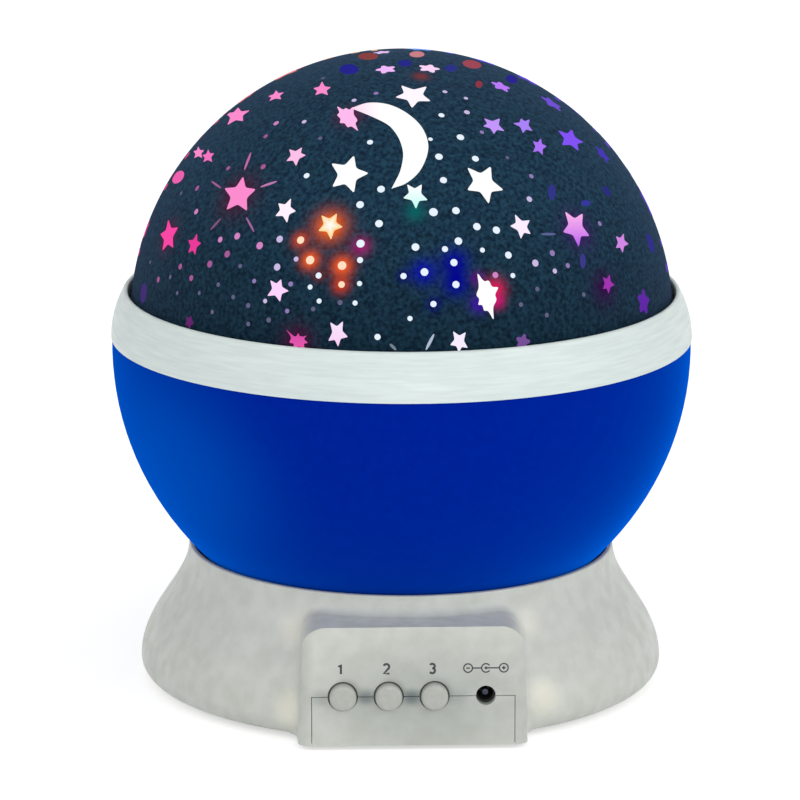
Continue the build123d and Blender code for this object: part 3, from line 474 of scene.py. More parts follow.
# ---------------------------------------------------------------- finishes
@dataclass(frozen=True)
class PaintedLight:
    """A soft spot of painted light and shade on a surface, in millimetres: a painted shadow, shade,
    highlight or reflection in another tone.
    """

    point: tuple[float, float, float]
    reach: tuple[float, float, float]
    strength: float
    # the default tone is a dark grey for painted shade
    tone: RGB = (96, 108, 108)


@dataclass(frozen=True)
class Finish:
    """A surface finish with its small unevenness.

    Attributes:
        name: the material's name.
        colour: main display colour.
        second: display colour that its pattern mixes in.
        pattern: the pattern that mixes the two.
        scale: pattern cells in a metre.
        roughness: mean roughness.
        roughness_swing: how far the pattern moves the roughness.
        metallic: 1 for metal.
        specular: strength of the plain reflection.
        coat: strength of a clear coat.
        sheen: strength of the soft light at grazing angles, as of a translucent wall.
        sheen_tint: its display colour.
        bump: height of the grain, in millimetres.
        bump_strength: how fully the grain turns the surface.
        ior: index of refraction.
        glow: display colour that it shines with, if any.
        painted_lights: soft spots of painted light and shade, each in another tone.
    """

    name: str
    colour: RGB
    second: RGB
    pattern: Pattern = Pattern.GRAIN
    scale: float = 900.0
    roughness: float = 0.45
    roughness_swing: float = 0.08
    metallic: float = 0.0
    specular: float = 0.5
    coat: float = 0.0
    sheen: float = 0.0
    sheen_tint: RGB = (255, 255, 255)
    bump: float = 0.01
    bump_strength: float = 0.6
    ior: float = 1.46
    glow: RGB | None = None
    painted_lights: tuple[PaintedLight, ...] = ()

    def material(self) -> bpy.types.Material:
        """Builds the material once and gives it back after that.

        Returns:
            The finish's material.
        """
        known = bpy.data.materials.get(self.name)
        if known is not None:
            return known
        material, tree, shader = new_material(self.name)
        mask = patterns.place(tree, self.pattern, Scale=self.scale)
        tones = {"Factor": mask, "A": light_of(self.colour), "B": light_of(self.second)}
        tone = add_node(tree, "Mix", tones, data_type="RGBA")
        low, high = self.roughness - self.roughness_swing, self.roughness + self.roughness_swing
        swing = add_node(tree, "MapRange", {"Value": mask, "To Min": low, "To Max": high})
        grain = {
            "Height": patterns.place(tree, Pattern.GRAIN, Scale=self.scale * 2),
            "Strength": self.bump_strength,
            "Distance": self.bump * MM,
        }
        surface = {
            "Base Color": self._with_painted_light(tree, tone.outputs["Result"]),
            "Roughness": swing.outputs["Result"],
            "Normal": add_node(tree, "Bump", grain).outputs["Normal"],
            "Metallic": self.metallic,
            "Specular IOR Level": self.specular,
            "Coat Weight": self.coat,
            "Sheen Weight": self.sheen,
            "Sheen Tint": light_of(self.sheen_tint),
            "IOR": self.ior,
        }
        feed(tree, shader, surface)
        if self.glow is not None:
            feed(tree, shader, {"Emission Color": light_of(self.glow), "Emission Strength": 1.0})
        return material

    def _with_painted_light(self, tree: bpy.types.NodeTree, colour: bpy.types.NodeSocket) -> bpy.types.NodeSocket:
        """Mixes the tone of each soft spot of painted light and shade into a colour in turn and gives the
        last colour's socket.
        """
        for painted_spot in self.painted_lights:
            point, reach = ([v * MM for v in vector] for vector in (painted_spot.point, painted_spot.reach))
            mask = patterns.place(tree, Pattern.PAINTED_LIGHT, Point=point, Reach=reach)
            weight = add_node(tree, "Math", {0: mask, 1: painted_spot.strength}, operation="MULTIPLY")
            tones = {"Factor": weight.outputs["Value"], "A": colour, "B": light_of(painted_spot.tone)}
            colour = add_node(tree, "Mix", tones, data_type="RGBA").outputs["Result"]
        return colour

    def dress(self, piece: bpy.types.Object) -> None:
        """Gives a piece this finish alone."""
        piece.data.materials.clear()
        piece.data.materials.append(self.material())


# Finishes by the record's material slots
FINISHES: dict[str, Finish] = {
    "white_plastic": Finish(
        "milky_white_plastic", (218, 230, 227), (209, 221, 219), Pattern.STREAKS, 1500, 0.42, bump=0.006
    ),
    "blue_plastic": Finish(
        "glossy_ultramarine_plastic",
        (0, 30, 150),
        (0, 27, 144),
        scale=500,
        roughness=0.28,
        roughness_swing=0.03,
        specular=0.0,
        sheen=1.0,
        sheen_tint=(0, 118, 255),
        bump=0.002,
        # painted reflection: a soft lighter blue patch on the ball's left
        painted_lights=(PaintedLight((-50, -36, 58), (42, 42, 36), 0.55, (0, 84, 196)),),
    ),
    "dome_plastic": Finish(
        "dark_dome_plastic",
        (16, 36, 52),
        (35, 66, 86),
        scale=1100,
        roughness=0.4,
        specular=0.0,
        sheen=0.12,
        sheen_tint=(170, 200, 255),
        bump=0.015,
    ),
    "natural_plastic": Finish("natural_nylon", (226, 221, 204), (214, 208, 190), scale=400, roughness=0.4),
    "black_plastic": Finish("black_plastic", (22, 22, 24), (34, 34, 36), roughness=0.4),
    "rubber": Finish("grey_rubber", (70, 71, 73), (84, 85, 86), roughness=0.75, bump=0.02),
    "steel": Finish(
        "zinc_plated_steel", (178, 180, 184), (150, 153, 158), Pattern.SCRATCHES, 1400, 0.32, 0.08, 1.0
    ),
    "brass": Finish("brass", (206, 170, 96), (186, 148, 78), Pattern.SCRATCHES, 1400, 0.3, 0.08, 1.0),
    "nickel": Finish(
        "nickel_plate", (196, 192, 182), (172, 168, 160), Pattern.SCRATCHES, 1400, 0.26, 0.06, 1.0
    ),
    "motor_can": Finish(
        "motor_can_steel", (160, 163, 168), (138, 141, 146), Pattern.STREAKS, 900, 0.35, 0.08, 1.0
    ),
    "circuit_board": Finish("green_circuit_board", (18, 84, 52), (26, 98, 62), scale=1500, roughness=0.35),
    "lamp_board": Finish("white_lamp_board", (228, 230, 228), (218, 220, 219), scale=1200, roughness=0.35),
    "battery_jacket": Finish("battery_jacket", (44, 46, 52), (56, 58, 64), roughness=0.3, coat=0.3),
    "led_warm": Finish(
        "warm_led_resin", (255, 236, 200), (250, 226, 180), roughness=0.12, glow=(120, 96, 50)
    ),
    "led_red": Finish("red_led_resin", (196, 26, 24), (176, 20, 20), roughness=0.12, glow=(90, 6, 6)),
    "led_green": Finish("green_led_resin", (30, 158, 62), (24, 140, 54), roughness=0.12, glow=(4, 70, 20)),
    "led_blue": Finish("blue_led_resin", (30, 62, 190), (24, 52, 170), roughness=0.12, glow=(4, 16, 90)),
    "lead_red": Finish("red_wire_jacket", (170, 28, 26), (152, 22, 22), roughness=0.5),
    "lead_black": Finish("black_wire_jacket", (26, 26, 27), (38, 38, 39), roughness=0.5),
}


HOUSING_NODES = ("base_shell", "bottom_cover", "battery_door")
FACE_DEPTH = 0.8  # the shades' middle behind the foot of the panel's face, millimetres
# Painted shade over the panel's face: strength, offset across and down from the middle cap, and reach,
# millimetres
PANEL_SHADE = 0.34
PANEL_SHADE_ACROSS = 3.0
PANEL_SHADE_DROP = 2.0
PANEL_SHADE_REACH = (42.0, 8.0, 24.0)
# Painted shadow at the upper right of each cap's hole: shift of its middle and reach, millimetres
CAP_SHADE_SHIFT = 0.75
CAP_SHADE_REACH = (4.3, 6.0, 4.3)
# Painted shadow along the seam between the caps: drop below their axes and reach, millimetres
SEAM_SHADE_DROP = 0.2
SEAM_SHADE_REACH = (3.8, 6.0, 3.0)
# Each painted shadow on the seam between the caps: place in cap pitches from the middle cap, and strength
SEAM_SHADES = ((-1.5, 0.3), (-0.5, 0.85), (0.5, 0.95), (1.5, 0.25))
# Painted highlights on the curves beside the panel's corners: places and reach in millimetres, strength
# and a pale tone
PAINTED_HIGHLIGHTS = ((-26.5, -45.5, 24), (-26, -51, 7), (27.5, -45, 25), (29, -50, 9))
PAINTED_HIGHLIGHT_REACH = (7.0, 7.0, 7.0)
PAINTED_HIGHLIGHT_STRENGTH = 0.55
PAINTED_HIGHLIGHT_TONE = (240, 236, 218)
CAP_FINISH = Finish("grey_white_cap_plastic", (180, 183, 175), (173, 177, 169), roughness=0.4, bump=0.004)
NODE_FINISHES: dict[str, Finish] = {
    # The socket's plated pin gets a dark colour as painted shade inside the socket
    "jack_pin": Finish("socket_pin_painted_shade", (74, 78, 88), (60, 64, 74), roughness=0.35, metallic=1.0),
    **{f"button_cap_{letter}": CAP_FINISH for letter in "abc"},
}


def housing_finish() -> Finish:
    """Tones the housing plastic with painted light and shade: painted shade over the panel, painted
    shadows round the caps and along the seam between them, painted highlights at the corners beside the
    panel, and a colour made darker as painted shade.
    """
    caps = [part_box(f"button_cap_{letter}") for letter in "abc"]
    middles = [((low.x + high.x) / 2 / MM, (low.z + high.z) / 2 / MM) for low, high in caps]
    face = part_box("base_shell")[0].y / MM + FACE_DEPTH
    pitch = middles[1][0] - middles[0][0]
    # painted shade over the panel, then painted shadows round the caps and along the seam
    panel = (PANEL_SHADE_ACROSS, face, middles[1][1] - PANEL_SHADE_DROP)
    painted_lights = [PaintedLight(panel, PANEL_SHADE_REACH, PANEL_SHADE)]
    for x, z in middles:
        painted_lights.append(PaintedLight((x + CAP_SHADE_SHIFT, face, z + CAP_SHADE_SHIFT), CAP_SHADE_REACH, 1.0))
    for step, strength in SEAM_SHADES:
        place = (middles[1][0] + step * pitch, face, middles[1][1] - SEAM_SHADE_DROP)
        painted_lights.append(PaintedLight(place, SEAM_SHADE_REACH, strength))
    # painted highlights beside the panel's corners
    for place in PAINTED_HIGHLIGHTS:
        painted_lights.append(PaintedLight(place, PAINTED_HIGHLIGHT_REACH, PAINTED_HIGHLIGHT_STRENGTH, PAINTED_HIGHLIGHT_TONE))
    # The collar's white plastic, made greyer as painted shade from the ball above, with the painted spots
    return replace(
        FINISHES["white_plastic"],
        name="milky_housing_plastic_painted_shade",
        colour=(204, 207, 199),
        second=(195, 198, 189),
        pattern=Pattern.GRAIN,
        scale=260,
        painted_lights=tuple(painted_lights),
    )


def dress_frame() -> None:
    """Gives every visible node of the frame the finish of its material slot."""
    slots = {part["node"]: part["material_slot"] for part in frame["record"]["subparts"]}
    housing = housing_finish()
    for node, piece in frame["nodes"].items():
        finish = housing if node in HOUSING_NODES else NODE_FINISHES.get(node, FINISHES[slots[node]])
        finish.dress(piece)
        log.info("%s finished as %s", node, finish.name)


# ---------------------------------------------------------------- star dome
STAR_POINTS = 60  # points round the edge of a star of the picture
SPOT_POINTS = 30
DOT_POINTS = 14
INNER_RING = 0.45  # rings of a window's surface, as shares of the way from its middle to its edge
OUTER_RING = 0.88
TRUE_STAR_NOTCH = 0.2  # how far a true star's edge pulls in, as a share of half its reach


@dataclass(frozen=True)
class Star:
    """A pointed window given by the picture places of its points.

    Attributes:
        tips: the points, in order round the star.
        colour: its colour at the top.
        low: its colour at the bottom, if another one.
        heart: its colour in the middle, if another one.
        waist: how far the notches lie from the middle, as a share of the way to the tips' chord.
    """

    tips: tuple[Pixel, ...]
    colour: RGB
    low: RGB | None = None
    heart: RGB | None = None
    waist: float = 0.6

    def outline(self, count: int) -> np.ndarray:
        """Draws the star's edge in the picture.

        Tips and notches are joined by straight lines, and a short moving average rounds the corners.

        Args:
            count: points round the edge.

        Returns:
            Array of count picture places.
        """
        tips = np.asarray(self.tips, float)
        middle = tips.mean(axis=0)
        chords = (tips + np.roll(tips, -1, axis=0)) / 2
        corners = np.stack((tips, middle + self.waist * (chords - middle)), 1).reshape(-1, 2)
        place = np.linspace(0, len(corners), count, endpoint=False)
        start = place.astype(int)
        share = (place - start)[:, None]
        edge = corners[start] * (1 - share) + corners[(start + 1) % len(corners)] * share
        return (2 * edge + np.roll(edge, 1, axis=0) + np.roll(edge, -1, axis=0)) / 4

    def colours(self, edge: np.ndarray) -> np.ndarray:
        """Mixes the top and bottom colours over the height of the edge and its middle."""
        height = np.append(edge[:, 1], edge[:, 1].mean())
        share = np.clip((height - edge[:, 1].min()) / np.ptp(edge[:, 1]), 0, 1)[:, None]
        top, low = light_of(self.colour), light_of(self.low or self.colour)
        mixed = top * (1 - share) + low * share
        if self.heart is not None:
            mixed[-1] = light_of(self.heart)
        return mixed


@dataclass(frozen=True)
class Spot:
    """A small window: an oval as the picture shows it, or a round one or star true on the dome.

    Attributes:
        centre: its picture place.
        size: width and height in the picture; a true window keeps the larger one.
        turn: clockwise turn, degrees.
        colour: its colour.
        tips: None for an oval of the picture, 0 for a true round window, more for a true star.
    """

    centre: Pixel
    size: tuple[float, float]
    turn: float
    colour: RGB
    tips: int | None = None

    def outline(self, count: int) -> np.ndarray:
        """Draws the oval's edge: half sizes times cosine and sine, then turned."""
        angle = np.linspace(0, 2 * math.pi, count, endpoint=False)
        turn = math.radians(self.turn)
        across, down = self.size[0] / 2 * np.cos(angle), self.size[1] / 2 * np.sin(angle)
        return np.asarray(self.centre, float) + np.stack(
            (
                across * math.cos(turn) - down * math.sin(turn),
                across * math.sin(turn) + down * math.cos(turn),
            ),
            -1,
        )

    def reach(self, count: int) -> np.ndarray:
        """Gives the true window's reach in pixels round its edge; tips pull it in between them."""
        angle = np.linspace(0, 2 * math.pi, count, endpoint=False) + math.radians(self.turn)
        return max(self.size) / 2 * (1 - TRUE_STAR_NOTCH * (1 - np.cos((self.tips or 0) * angle)))


@dataclass(frozen=True)
class Glow:
    """Coloured light round a window: picture centre, radius in pixels and colour."""

    centre: Pixel
    radius: float
    colour: RGB


WHITE = (255, 255, 255)
PINK = (250, 136, 204)

STARS = (
    # crown
    Star(((401, 85), (427, 86), (431, 101), (412, 108), (395, 97)), (255, 246, 255)),
    Star(((484, 118), (500, 118), (505, 131), (494, 134), (483, 126)), (193, 146, 250)),
    Star(((513, 123), (521, 118), (530, 119), (533, 131), (523, 133)), (168, 126, 246)),
    Star(((533, 141), (541, 138), (547, 146), (543, 155), (533, 152)), (168, 110, 246)),
    Star(((558, 130), (572, 129), (584, 142), (579, 151), (562, 145)), (126, 74, 244)),
    Star(((225, 113), (238, 107), (250, 110), (243, 121), (227, 125)), PINK),
    Star(((268, 96), (276, 90), (284, 92), (281, 99), (269, 101)), PINK),
    Star(((313, 88), (322, 81), (331, 87), (328, 95), (315, 95)), PINK),
    Star(((193, 151), (198, 146), (204, 150), (202, 158), (194, 158)), PINK),
    Star(((202, 155), (208, 149), (214, 153), (212, 162), (203, 162)), (244, 112, 192)),
    # middle of the dome
    Star(((369, 173), (354, 155), (331, 163), (332, 187), (354, 193)), WHITE),
    Star(((467, 167), (491, 166), (504, 190), (489, 204), (467, 190)), WHITE),
    Star(((407, 184), (422, 184), (428, 200), (416, 209), (403, 198)), WHITE, (190, 255, 245)),
    Star(((321, 215), (337, 213), (343, 227), (331, 240), (318, 231)), (255, 216, 150), heart=WHITE),
    Star(((515, 214), (530, 220), (531, 234), (521, 239), (510, 226)), (250, 235, 255)),
    Star(((565, 211), (583, 213), (590, 236), (579, 247), (563, 232)), (250, 176, 232), (186, 92, 240)),
    # left side
    Star(((243, 176), (256, 189), (247, 211), (226, 210), (224, 188)), PINK),
    Star(((291, 198), (278, 203), (275, 216), (287, 223), (296, 211)), (255, 240, 252)),
    Star(((302, 147), (306, 155), (296, 166), (286, 161), (289, 149)), (255, 190, 230)),
    Star(((270, 280), (281, 279), (289, 291), (280, 302), (267, 296)), (255, 210, 255)),
    Star(((168, 219), (178, 227), (173, 248), (162, 251), (160, 234)), (248, 62, 162)),
    Star(((197, 233), (201, 243), (195, 255), (188, 253), (188, 240)), (232, 46, 150)),
    # above the collar
    Star(((330, 322), (343, 321), (348, 337), (338, 347), (328, 341)), (244, 228, 252), (250, 206, 244)),
    Star(((453, 331), (466, 332), (468, 348), (459, 353), (450, 345)), (245, 235, 255)),
    Star(((616, 236), (624, 233), (629, 244), (623, 253), (616, 248)), (208, 132, 226)),
    Star(((603, 277), (610, 274), (615, 285), (609, 294), (603, 289)), (156, 34, 172)),
    # bursts
    Star(
        (
            (336.5, 105.5), (336.5, 115), (339.5, 123), (347.5, 127.5),
            (358.7, 131.5), (358, 120), (354, 106), (346, 107.5),
        ),
        (255, 184, 236),
        waist=0.7,
    ),
    Star(
        (
            (477, 272), (489, 280), (499, 287), (497, 300),
            (494, 321), (484, 311), (478, 305), (476, 295),
        ),
        WHITE,
        waist=0.72,
    ),
    Star(
        (
            (285, 328.5), (291.5, 336), (298.3, 332.5), (303, 336), (307.2, 335),
            (308.5, 343), (306, 351), (293, 350), (288.5, 343),
        ),
        (205, 62, 160),
        (232, 84, 172),
        waist=0.55,
    ),
)

SPOTS = (
    # outer stars seen edge on
    Spot((501, 86), (21, 13), 35, (186, 118, 250), 5),
    Spot((552, 103), (26, 11), 42, (108, 72, 208), 5),
    Spot((603, 154), (22, 12), 48, (62, 42, 178), 5),
    Spot((644, 302), (14, 26), 0, (88, 10, 162), 5),
    Spot((178, 177), (9, 15), 40, (236, 92, 172)),
    Spot((386, 69), (21, 12), 20, (240, 184, 250), 5),
    Spot((429, 68), (22, 12), 20, (250, 212, 248), 5),
    Spot((382, 52), (18, 7), 10, (228, 190, 240), 5),
    Spot((523, 342), (16, 10), 0, (112, 70, 146), 5),
    Spot((189, 322), (13, 11), 0, (92, 14, 100), 5),
    Spot((143, 293), (9, 20), 0, (56, 30, 112), 0),
    # dim coloured spots near the crown and the right rim, which shine like the windows
    Spot((349, 69), (19, 10), 0, (8, 8, 138)),
    Spot((405, 63), (14, 7), 0, (14, 20, 130)),
    Spot((368, 56), (20, 7), 0, (134, 54, 54)),
    Spot((417, 54), (15, 6), 0, (200, 124, 132)),
    Spot((451, 68), (12, 7), 0, (24, 34, 132)),
    Spot((472, 64), (19, 8), 10, (156, 62, 80)),
    Spot((512, 79), (12, 8), 20, (20, 10, 140)),
    Spot((479, 84), (7, 7), 0, (140, 40, 60)),
    Spot((552, 192), (8, 16), 0, (30, 35, 130)),
    Spot((607, 191), (11, 12), 0, (20, 25, 120), 0),
    Spot((586, 203), (10, 6), 0, (35, 40, 150)),
    Spot((651, 243), (7, 20), 0, (30, 30, 130), 0),
    Spot((583, 261), (6, 15), 0, (44, 40, 130)),
    # rays and dashes
    Spot((247.5, 161), (19, 2.2), -69, (190, 104, 166)),
    Spot((216, 184.5), (12, 2.2), 35, (160, 88, 146)),
    Spot((268.5, 184), (18, 2.2), -19, (190, 118, 176)),
    Spot((215.5, 224), (16, 2.0), -48, (130, 76, 122)),
    Spot((250, 224.5), (17, 2.2), 62, (156, 98, 152)),
    Spot((548.5, 234), (15, 2.6), 0, (84, 92, 146)),
    Spot((430, 342), (18, 3), -63, (172, 186, 208)),
    Spot((393, 347), (9, 3), 45, (110, 128, 140)),
)

# Round windows: picture place and diameter, by colour
DOTS: dict[RGB, tuple[tuple[float, float, float], ...]] = {
    (230, 242, 254): (
        (306.5, 175.5, 6), (370, 142, 6), (381, 189, 7.5), (441.5, 115, 6), (460.5, 137, 7.5),
        (439, 156.5, 7.5), (475.5, 158.5, 7), (443.5, 180, 7), (360, 204.5, 7.5), (379, 223.5, 7.5),
        (360.5, 243.5, 8), (360, 260, 6), (359.5, 283.5, 5), (355, 303, 5), (415.5, 247, 7.5),
        (403.5, 276, 6), (424.5, 272, 7.5), (445, 249, 6), (454, 262.5, 7), (456, 284.5, 7),
        (433.5, 304, 6), (410, 318.5, 5), (377.5, 337, 6), (433.5, 212, 8.5), (456, 210.5, 7.5),
        (477, 226.5, 7.5), (496.5, 230, 7.5), (458.5, 241, 7.5), (482.5, 250, 5), (508.5, 255, 7),
        (513, 275.5, 5), (310, 287, 5), (319, 301, 5), (318.5, 275.5, 6), (430.5, 139, 4.5),
    ),
    (255, 222, 190): ((300.5, 240, 7.5), (310, 260, 8.5), (342, 265.5, 8.5), (341.5, 284.5, 6.5)),
    (200, 184, 226): (
        (277, 267, 7), (279.5, 239, 7), (296, 259, 5), (304, 121.5, 5), (354, 100, 5), (445, 91.5, 5),
        (466, 98, 4.5), (467, 112, 6), (529.5, 199, 6), (535.5, 263, 7), (555, 271, 5), (265, 301, 4.5),
    ),
    (206, 128, 192): (
        (276, 123, 6), (259.5, 245.5, 7.5), (237, 236, 7), (220, 239.5, 6), (196, 211.5, 6),
        (495.5, 275, 6),
    ),
    (160, 84, 146): (
        (265.5, 136, 5), (228, 168, 5), (263, 166.5, 6), (197, 188, 6), (227, 254, 7), (209.5, 264, 7),
        (180, 266.5, 6), (191, 278, 6), (158, 279.5, 6),
    ),
    (140, 118, 178): (
        (376, 93, 5), (552.5, 253, 6), (568, 265.5, 5), (600, 223.5, 5), (482, 132, 4.5),
        (531.5, 176, 5), (287, 311, 4.5), (290.5, 284, 5), (254, 281, 4.5),
    ),
    (92, 90, 126): (
        (320, 138, 4.5), (181, 193, 4.5), (507.5, 157.5, 4), (313, 309, 4.5), (340, 302.5, 5),
        (537.5, 289, 4.5), (521, 304.5, 4.5), (547, 315, 4.5), (584, 294.5, 4.5), (170, 277, 4.5),
        (218, 284.5, 4.5), (240, 266, 4.5), (248, 305.5, 5), (233, 297, 4.5), (268.5, 320, 5),
        (248, 324, 4.5), (212, 312, 4.5), (199, 293, 4), (177, 293, 4), (150, 262, 4), (323, 78, 4.5),
    ),
}

GLOWS = (
    # warm patch left of the middle
    Glow((330, 226), 13.5, (255, 104, 10)),
    Glow((300, 240), 7, (205, 70, 18)),
    Glow((310, 260), 8, (255, 96, 12)),
    Glow((342, 266), 9, (255, 92, 12)),
    Glow((341, 285), 7, (205, 60, 16)),
    Glow((319, 276), 5, (110, 34, 20)),
    Glow((361, 246), 8, (160, 26, 110)),
    # cool patches right of the middle
    Glow((424, 272), 11, (6, 8, 160)),
    Glow((404, 276), 6, (4, 8, 100)),
    Glow((455, 262), 13, (2, 2, 140)),
    Glow((456, 284), 12, (2, 2, 140)),
    Glow((434, 304), 7, (4, 6, 100)),
    Glow((495, 289), 9, (225, 24, 92)),
    Glow((498, 302), 6, (190, 20, 110)),
    Glow((479, 304), 8, (60, 16, 160)),
    Glow((478, 278), 6, (90, 10, 120)),
    Glow((415, 212), 9, (10, 96, 96)),
    # crown and rims
    Glow((421, 76), 7, (120, 44, 36)),
    Glow((578, 230), 17, (56, 14, 96)),
    Glow((238, 195), 20, (74, 10, 44)),
    Glow((168, 236), 14, (84, 8, 48)),
    Glow((350, 116), 12, (84, 18, 60)),
    Glow((604, 288), 16, (44, 4, 62)),
    Glow((297, 340), 14, (64, 14, 50)),
)

# The crescent's two edges, from its upper tip to its lower one
CRESCENT_OUTER = (
    (351, 108), (369, 102.6), (390, 104.8), (409, 114.5), (423, 129),
    (428.3, 148), (421, 169), (407, 182.5), (391.5, 188.5),
)
CRESCENT_INNER = (
    (351, 108), (371, 116), (387, 124), (395, 132), (400.5, 142),
    (403.2, 155), (400.5, 170), (396, 180), (391.5, 188.5),
)
CRESCENT_TINT = (255, 214, 240)
CRESCENT_TINTED = 0.4  # share of its width over which the tint turns white

# Lamp colour that leaves round the dome: degrees from the lamp's right, and display colour
LAMP_TONES = (
    (0, (105, 60, 215)),
    (40, (70, 70, 235)),
    (80, (120, 190, 250)),
    (110, (240, 248, 240)),
    (140, (255, 176, 110)),
    (180, (225, 50, 140)),
    (230, (235, 70, 160)),
    (310, (120, 50, 200)),
    (360, (105, 60, 215)),
)


@dataclass(frozen=True)
class BackWindows:
    """One kind of window that is scattered over the sides and the back, in radians on the dome.

    Attributes:
        name: the name of the piece that holds them.
        small: smallest reach.
        large: largest reach.
        gap: skin left to the window next to it.
        points: points round its edge.
        notch: how far the edge pulls in between five tips, as a share of half its reach.
    """

    name: str
    small: float
    large: float
    gap: float
    points: int
    notch: float


BACK_STARS = BackWindows("back_star_windows", 0.034, 0.075, 0.045, 30, 0.25)
BACK_DOTS = BackWindows("back_dot_windows", 0.011, 0.019, 0.035, 12, 0.0)


@dataclass
class StarDome:
    """The dark dome with its lit windows.

    Attributes:
        camera: the camera whose picture places the windows.
        segments: points round the dome.
        rows: points from its equator to its crown.
        skin: how far the dark skin lies inside the frame's dome, millimetres.
        window_proud: how far a window's middle stands above the skin, millimetres.
        wall: thickness of the dome, millimetres.
        flange: width of the flange at its foot, millimetres.
        scattered: number of tries for a window on the sides and the back; a third are stars.
        collar_margin: skin left above the collar there, as a share of the radius.
        facing: cosine to the camera's direction beyond which nothing is scattered.
        seed: seed of the windows that are scattered there.
    """

    camera: LampCamera
    segments: int = 384
    rows: int = 120
    skin: float = 0.06
    window_proud: float = 0.045
    wall: float = 1.2
    flange: float = 2.0
    scattered: int = 5000
    collar_margin: float = 0.02
    facing: float = 0.17
    seed: int = 12

    def __post_init__(self) -> None:
        """Takes the dome's size from the frame."""
        low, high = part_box("star_dome")
        self.radius = high.x / MM
        self.bottom = low.z / MM
        self.middle = high.z / MM - self.radius
        self.centre = np.array((0, 0, self.middle * MM))
        self.collar_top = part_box("collar")[1].z / MM
        self.pixel = self.camera.distance / self.camera.focal / MM / self.radius
        self.crown = self.radius - self.skin + self.window_proud
        self.inside = self.radius - self.wall - self.window_proud / 2

    def build(self) -> None:
        """Builds the dark shell and all windows."""
        self._shell()
        outlines = [star.outline(STAR_POINTS) for star in STARS]
        colours = [star.colours(edge) for star, edge in zip(STARS, outlines, strict=True)]
        self._windows("star_windows", self._on_dome(np.stack(outlines)), np.stack(colours))
        self._spots()
        self._dots()
        self._crescent()
        self._scatter()

    def _spots(self) -> None:
        """Builds the ovals of the picture and the windows that are true on the dome."""
        seen = [spot for spot in SPOTS if spot.tips is None]
        true = [spot for spot in SPOTS if spot.tips is not None]
        reach = np.stack([spot.reach(SPOT_POINTS) for spot in true]) * self.pixel
        middles = self._on_dome(np.array([spot.centre for spot in true]))
        edges = self._on_dome(np.stack([spot.outline(SPOT_POINTS) for spot in seen]))
        edges = np.concatenate((edges, self._round_edges(middles, reach)))
        tones = np.stack([light_of(spot.colour) for spot in seen + true])
        self._windows("spot_windows", edges, np.repeat(tones[:, None], SPOT_POINTS + 1, axis=1))

    def _on_dome(self, pixels: np.ndarray) -> np.ndarray:
        """Finds the dome directions behind picture places."""
        return self.camera.on_ball(pixels, self.centre, self.radius * MM)

    def _shell(self) -> None:
        """Turns the shell: outside from foot to crown, inside back down to the turned-in flange."""
        outer, inner = self.radius - self.skin, self.radius - self.wall
        rise = np.linspace(0, math.pi / 2, self.rows)
        flange_top = self.bottom + self.wall
        fall = np.linspace(math.pi / 2, math.asin((flange_top - self.middle) / inner), self.rows // 2)
        profile = np.vstack(
            (
                (outer, self.bottom),
                np.stack((outer * np.cos(rise), self.middle + outer * np.sin(rise)), -1),
                np.stack((inner * np.cos(fall), self.middle + inner * np.sin(fall)), -1),
                (inner - self.flange, flange_top),
                (inner - self.flange, self.bottom),
            )
        )
        shell = turned_piece("dome_shell", profile, self.segments)
        places = np.empty(len(shell.data.vertices) * 3)
        shell.data.vertices.foreach_get("co", places)
        # the alpha also holds the painted shade that darkens the dome towards its foot
        store_colours(shell, "glow", self._glow_at(places.reshape(-1, 3)))
        shell.data.materials.append(self._dark_plastic())
        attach(shell, "dome")
        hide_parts("star_dome")
        log.info("dome shell: %d points", len(shell.data.vertices))

    def _glow_at(self, places: np.ndarray) -> np.ndarray:
        """Adds up the coloured light at places on the dome.

        Each glow counts e to the power of minus the square of distance over radius. The alpha says
        how much the dark skin recedes: wholly in a glow; and, as painted shade that darkens the dome
        towards its foot, by half at the dome's middle height and less above that, down to nothing at
        0.6 of its radius.

        Args:
            places: array of places, metres.

        Returns:
            Linear colour and alpha for each place.
        """
        ways = self._on_dome(np.array([glow.centre for glow in GLOWS]))
        centres = self.centre + ways * self.radius * MM
        radii = np.array([glow.radius for glow in GLOWS]) * self.pixel * self.radius * MM
        tones = np.stack([light_of(glow.colour) for glow in GLOWS])[:, :3]
        distance = np.linalg.norm(places[:, None] - centres, axis=-1)
        share = np.exp(-((distance / radii) ** 2))
        height = (places[:, 2] - self.centre[2]) / (self.radius * MM)
        # painted shade: the skin keeps half its colour up to the middle height, all of it from 0.6 of the
        # radius up
        kept = np.interp(height, (0.0, 0.6), (0.5, 1.0)) * (1 - np.clip(share.sum(axis=1), 0, 1))
        return np.hstack((np.clip(share @ tones, 0, 1), 1 - kept[:, None]))

    def _dark_plastic(self) -> bpy.types.Material:
        """Adds the stored glow to the dark dome finish as its own light, over a skin that recedes in the
        glows and is darkened towards the foot as painted shade.
        """
        material = FINISHES["dome_plastic"].material()
        tree = material.node_tree
        shader = tree.nodes["Principled BSDF"]
        skin = shader.inputs["Base Color"].links[0].from_socket
        glow = add_node(tree, "Attribute", {}, attribute_name="glow")
        tones = {"Factor": glow.outputs["Alpha"], "A": skin, "B": (0, 0, 0, 1)}
        skin_glow_and_painted_shade = add_node(tree, "Mix", tones, data_type="RGBA")
        surface = {
            "Base Color": skin_glow_and_painted_shade.outputs["Result"],
            "Emission Color": glow.outputs["Color"],
            "Emission Strength": 1.0,
        }
        feed(tree, shader, surface)
        return material

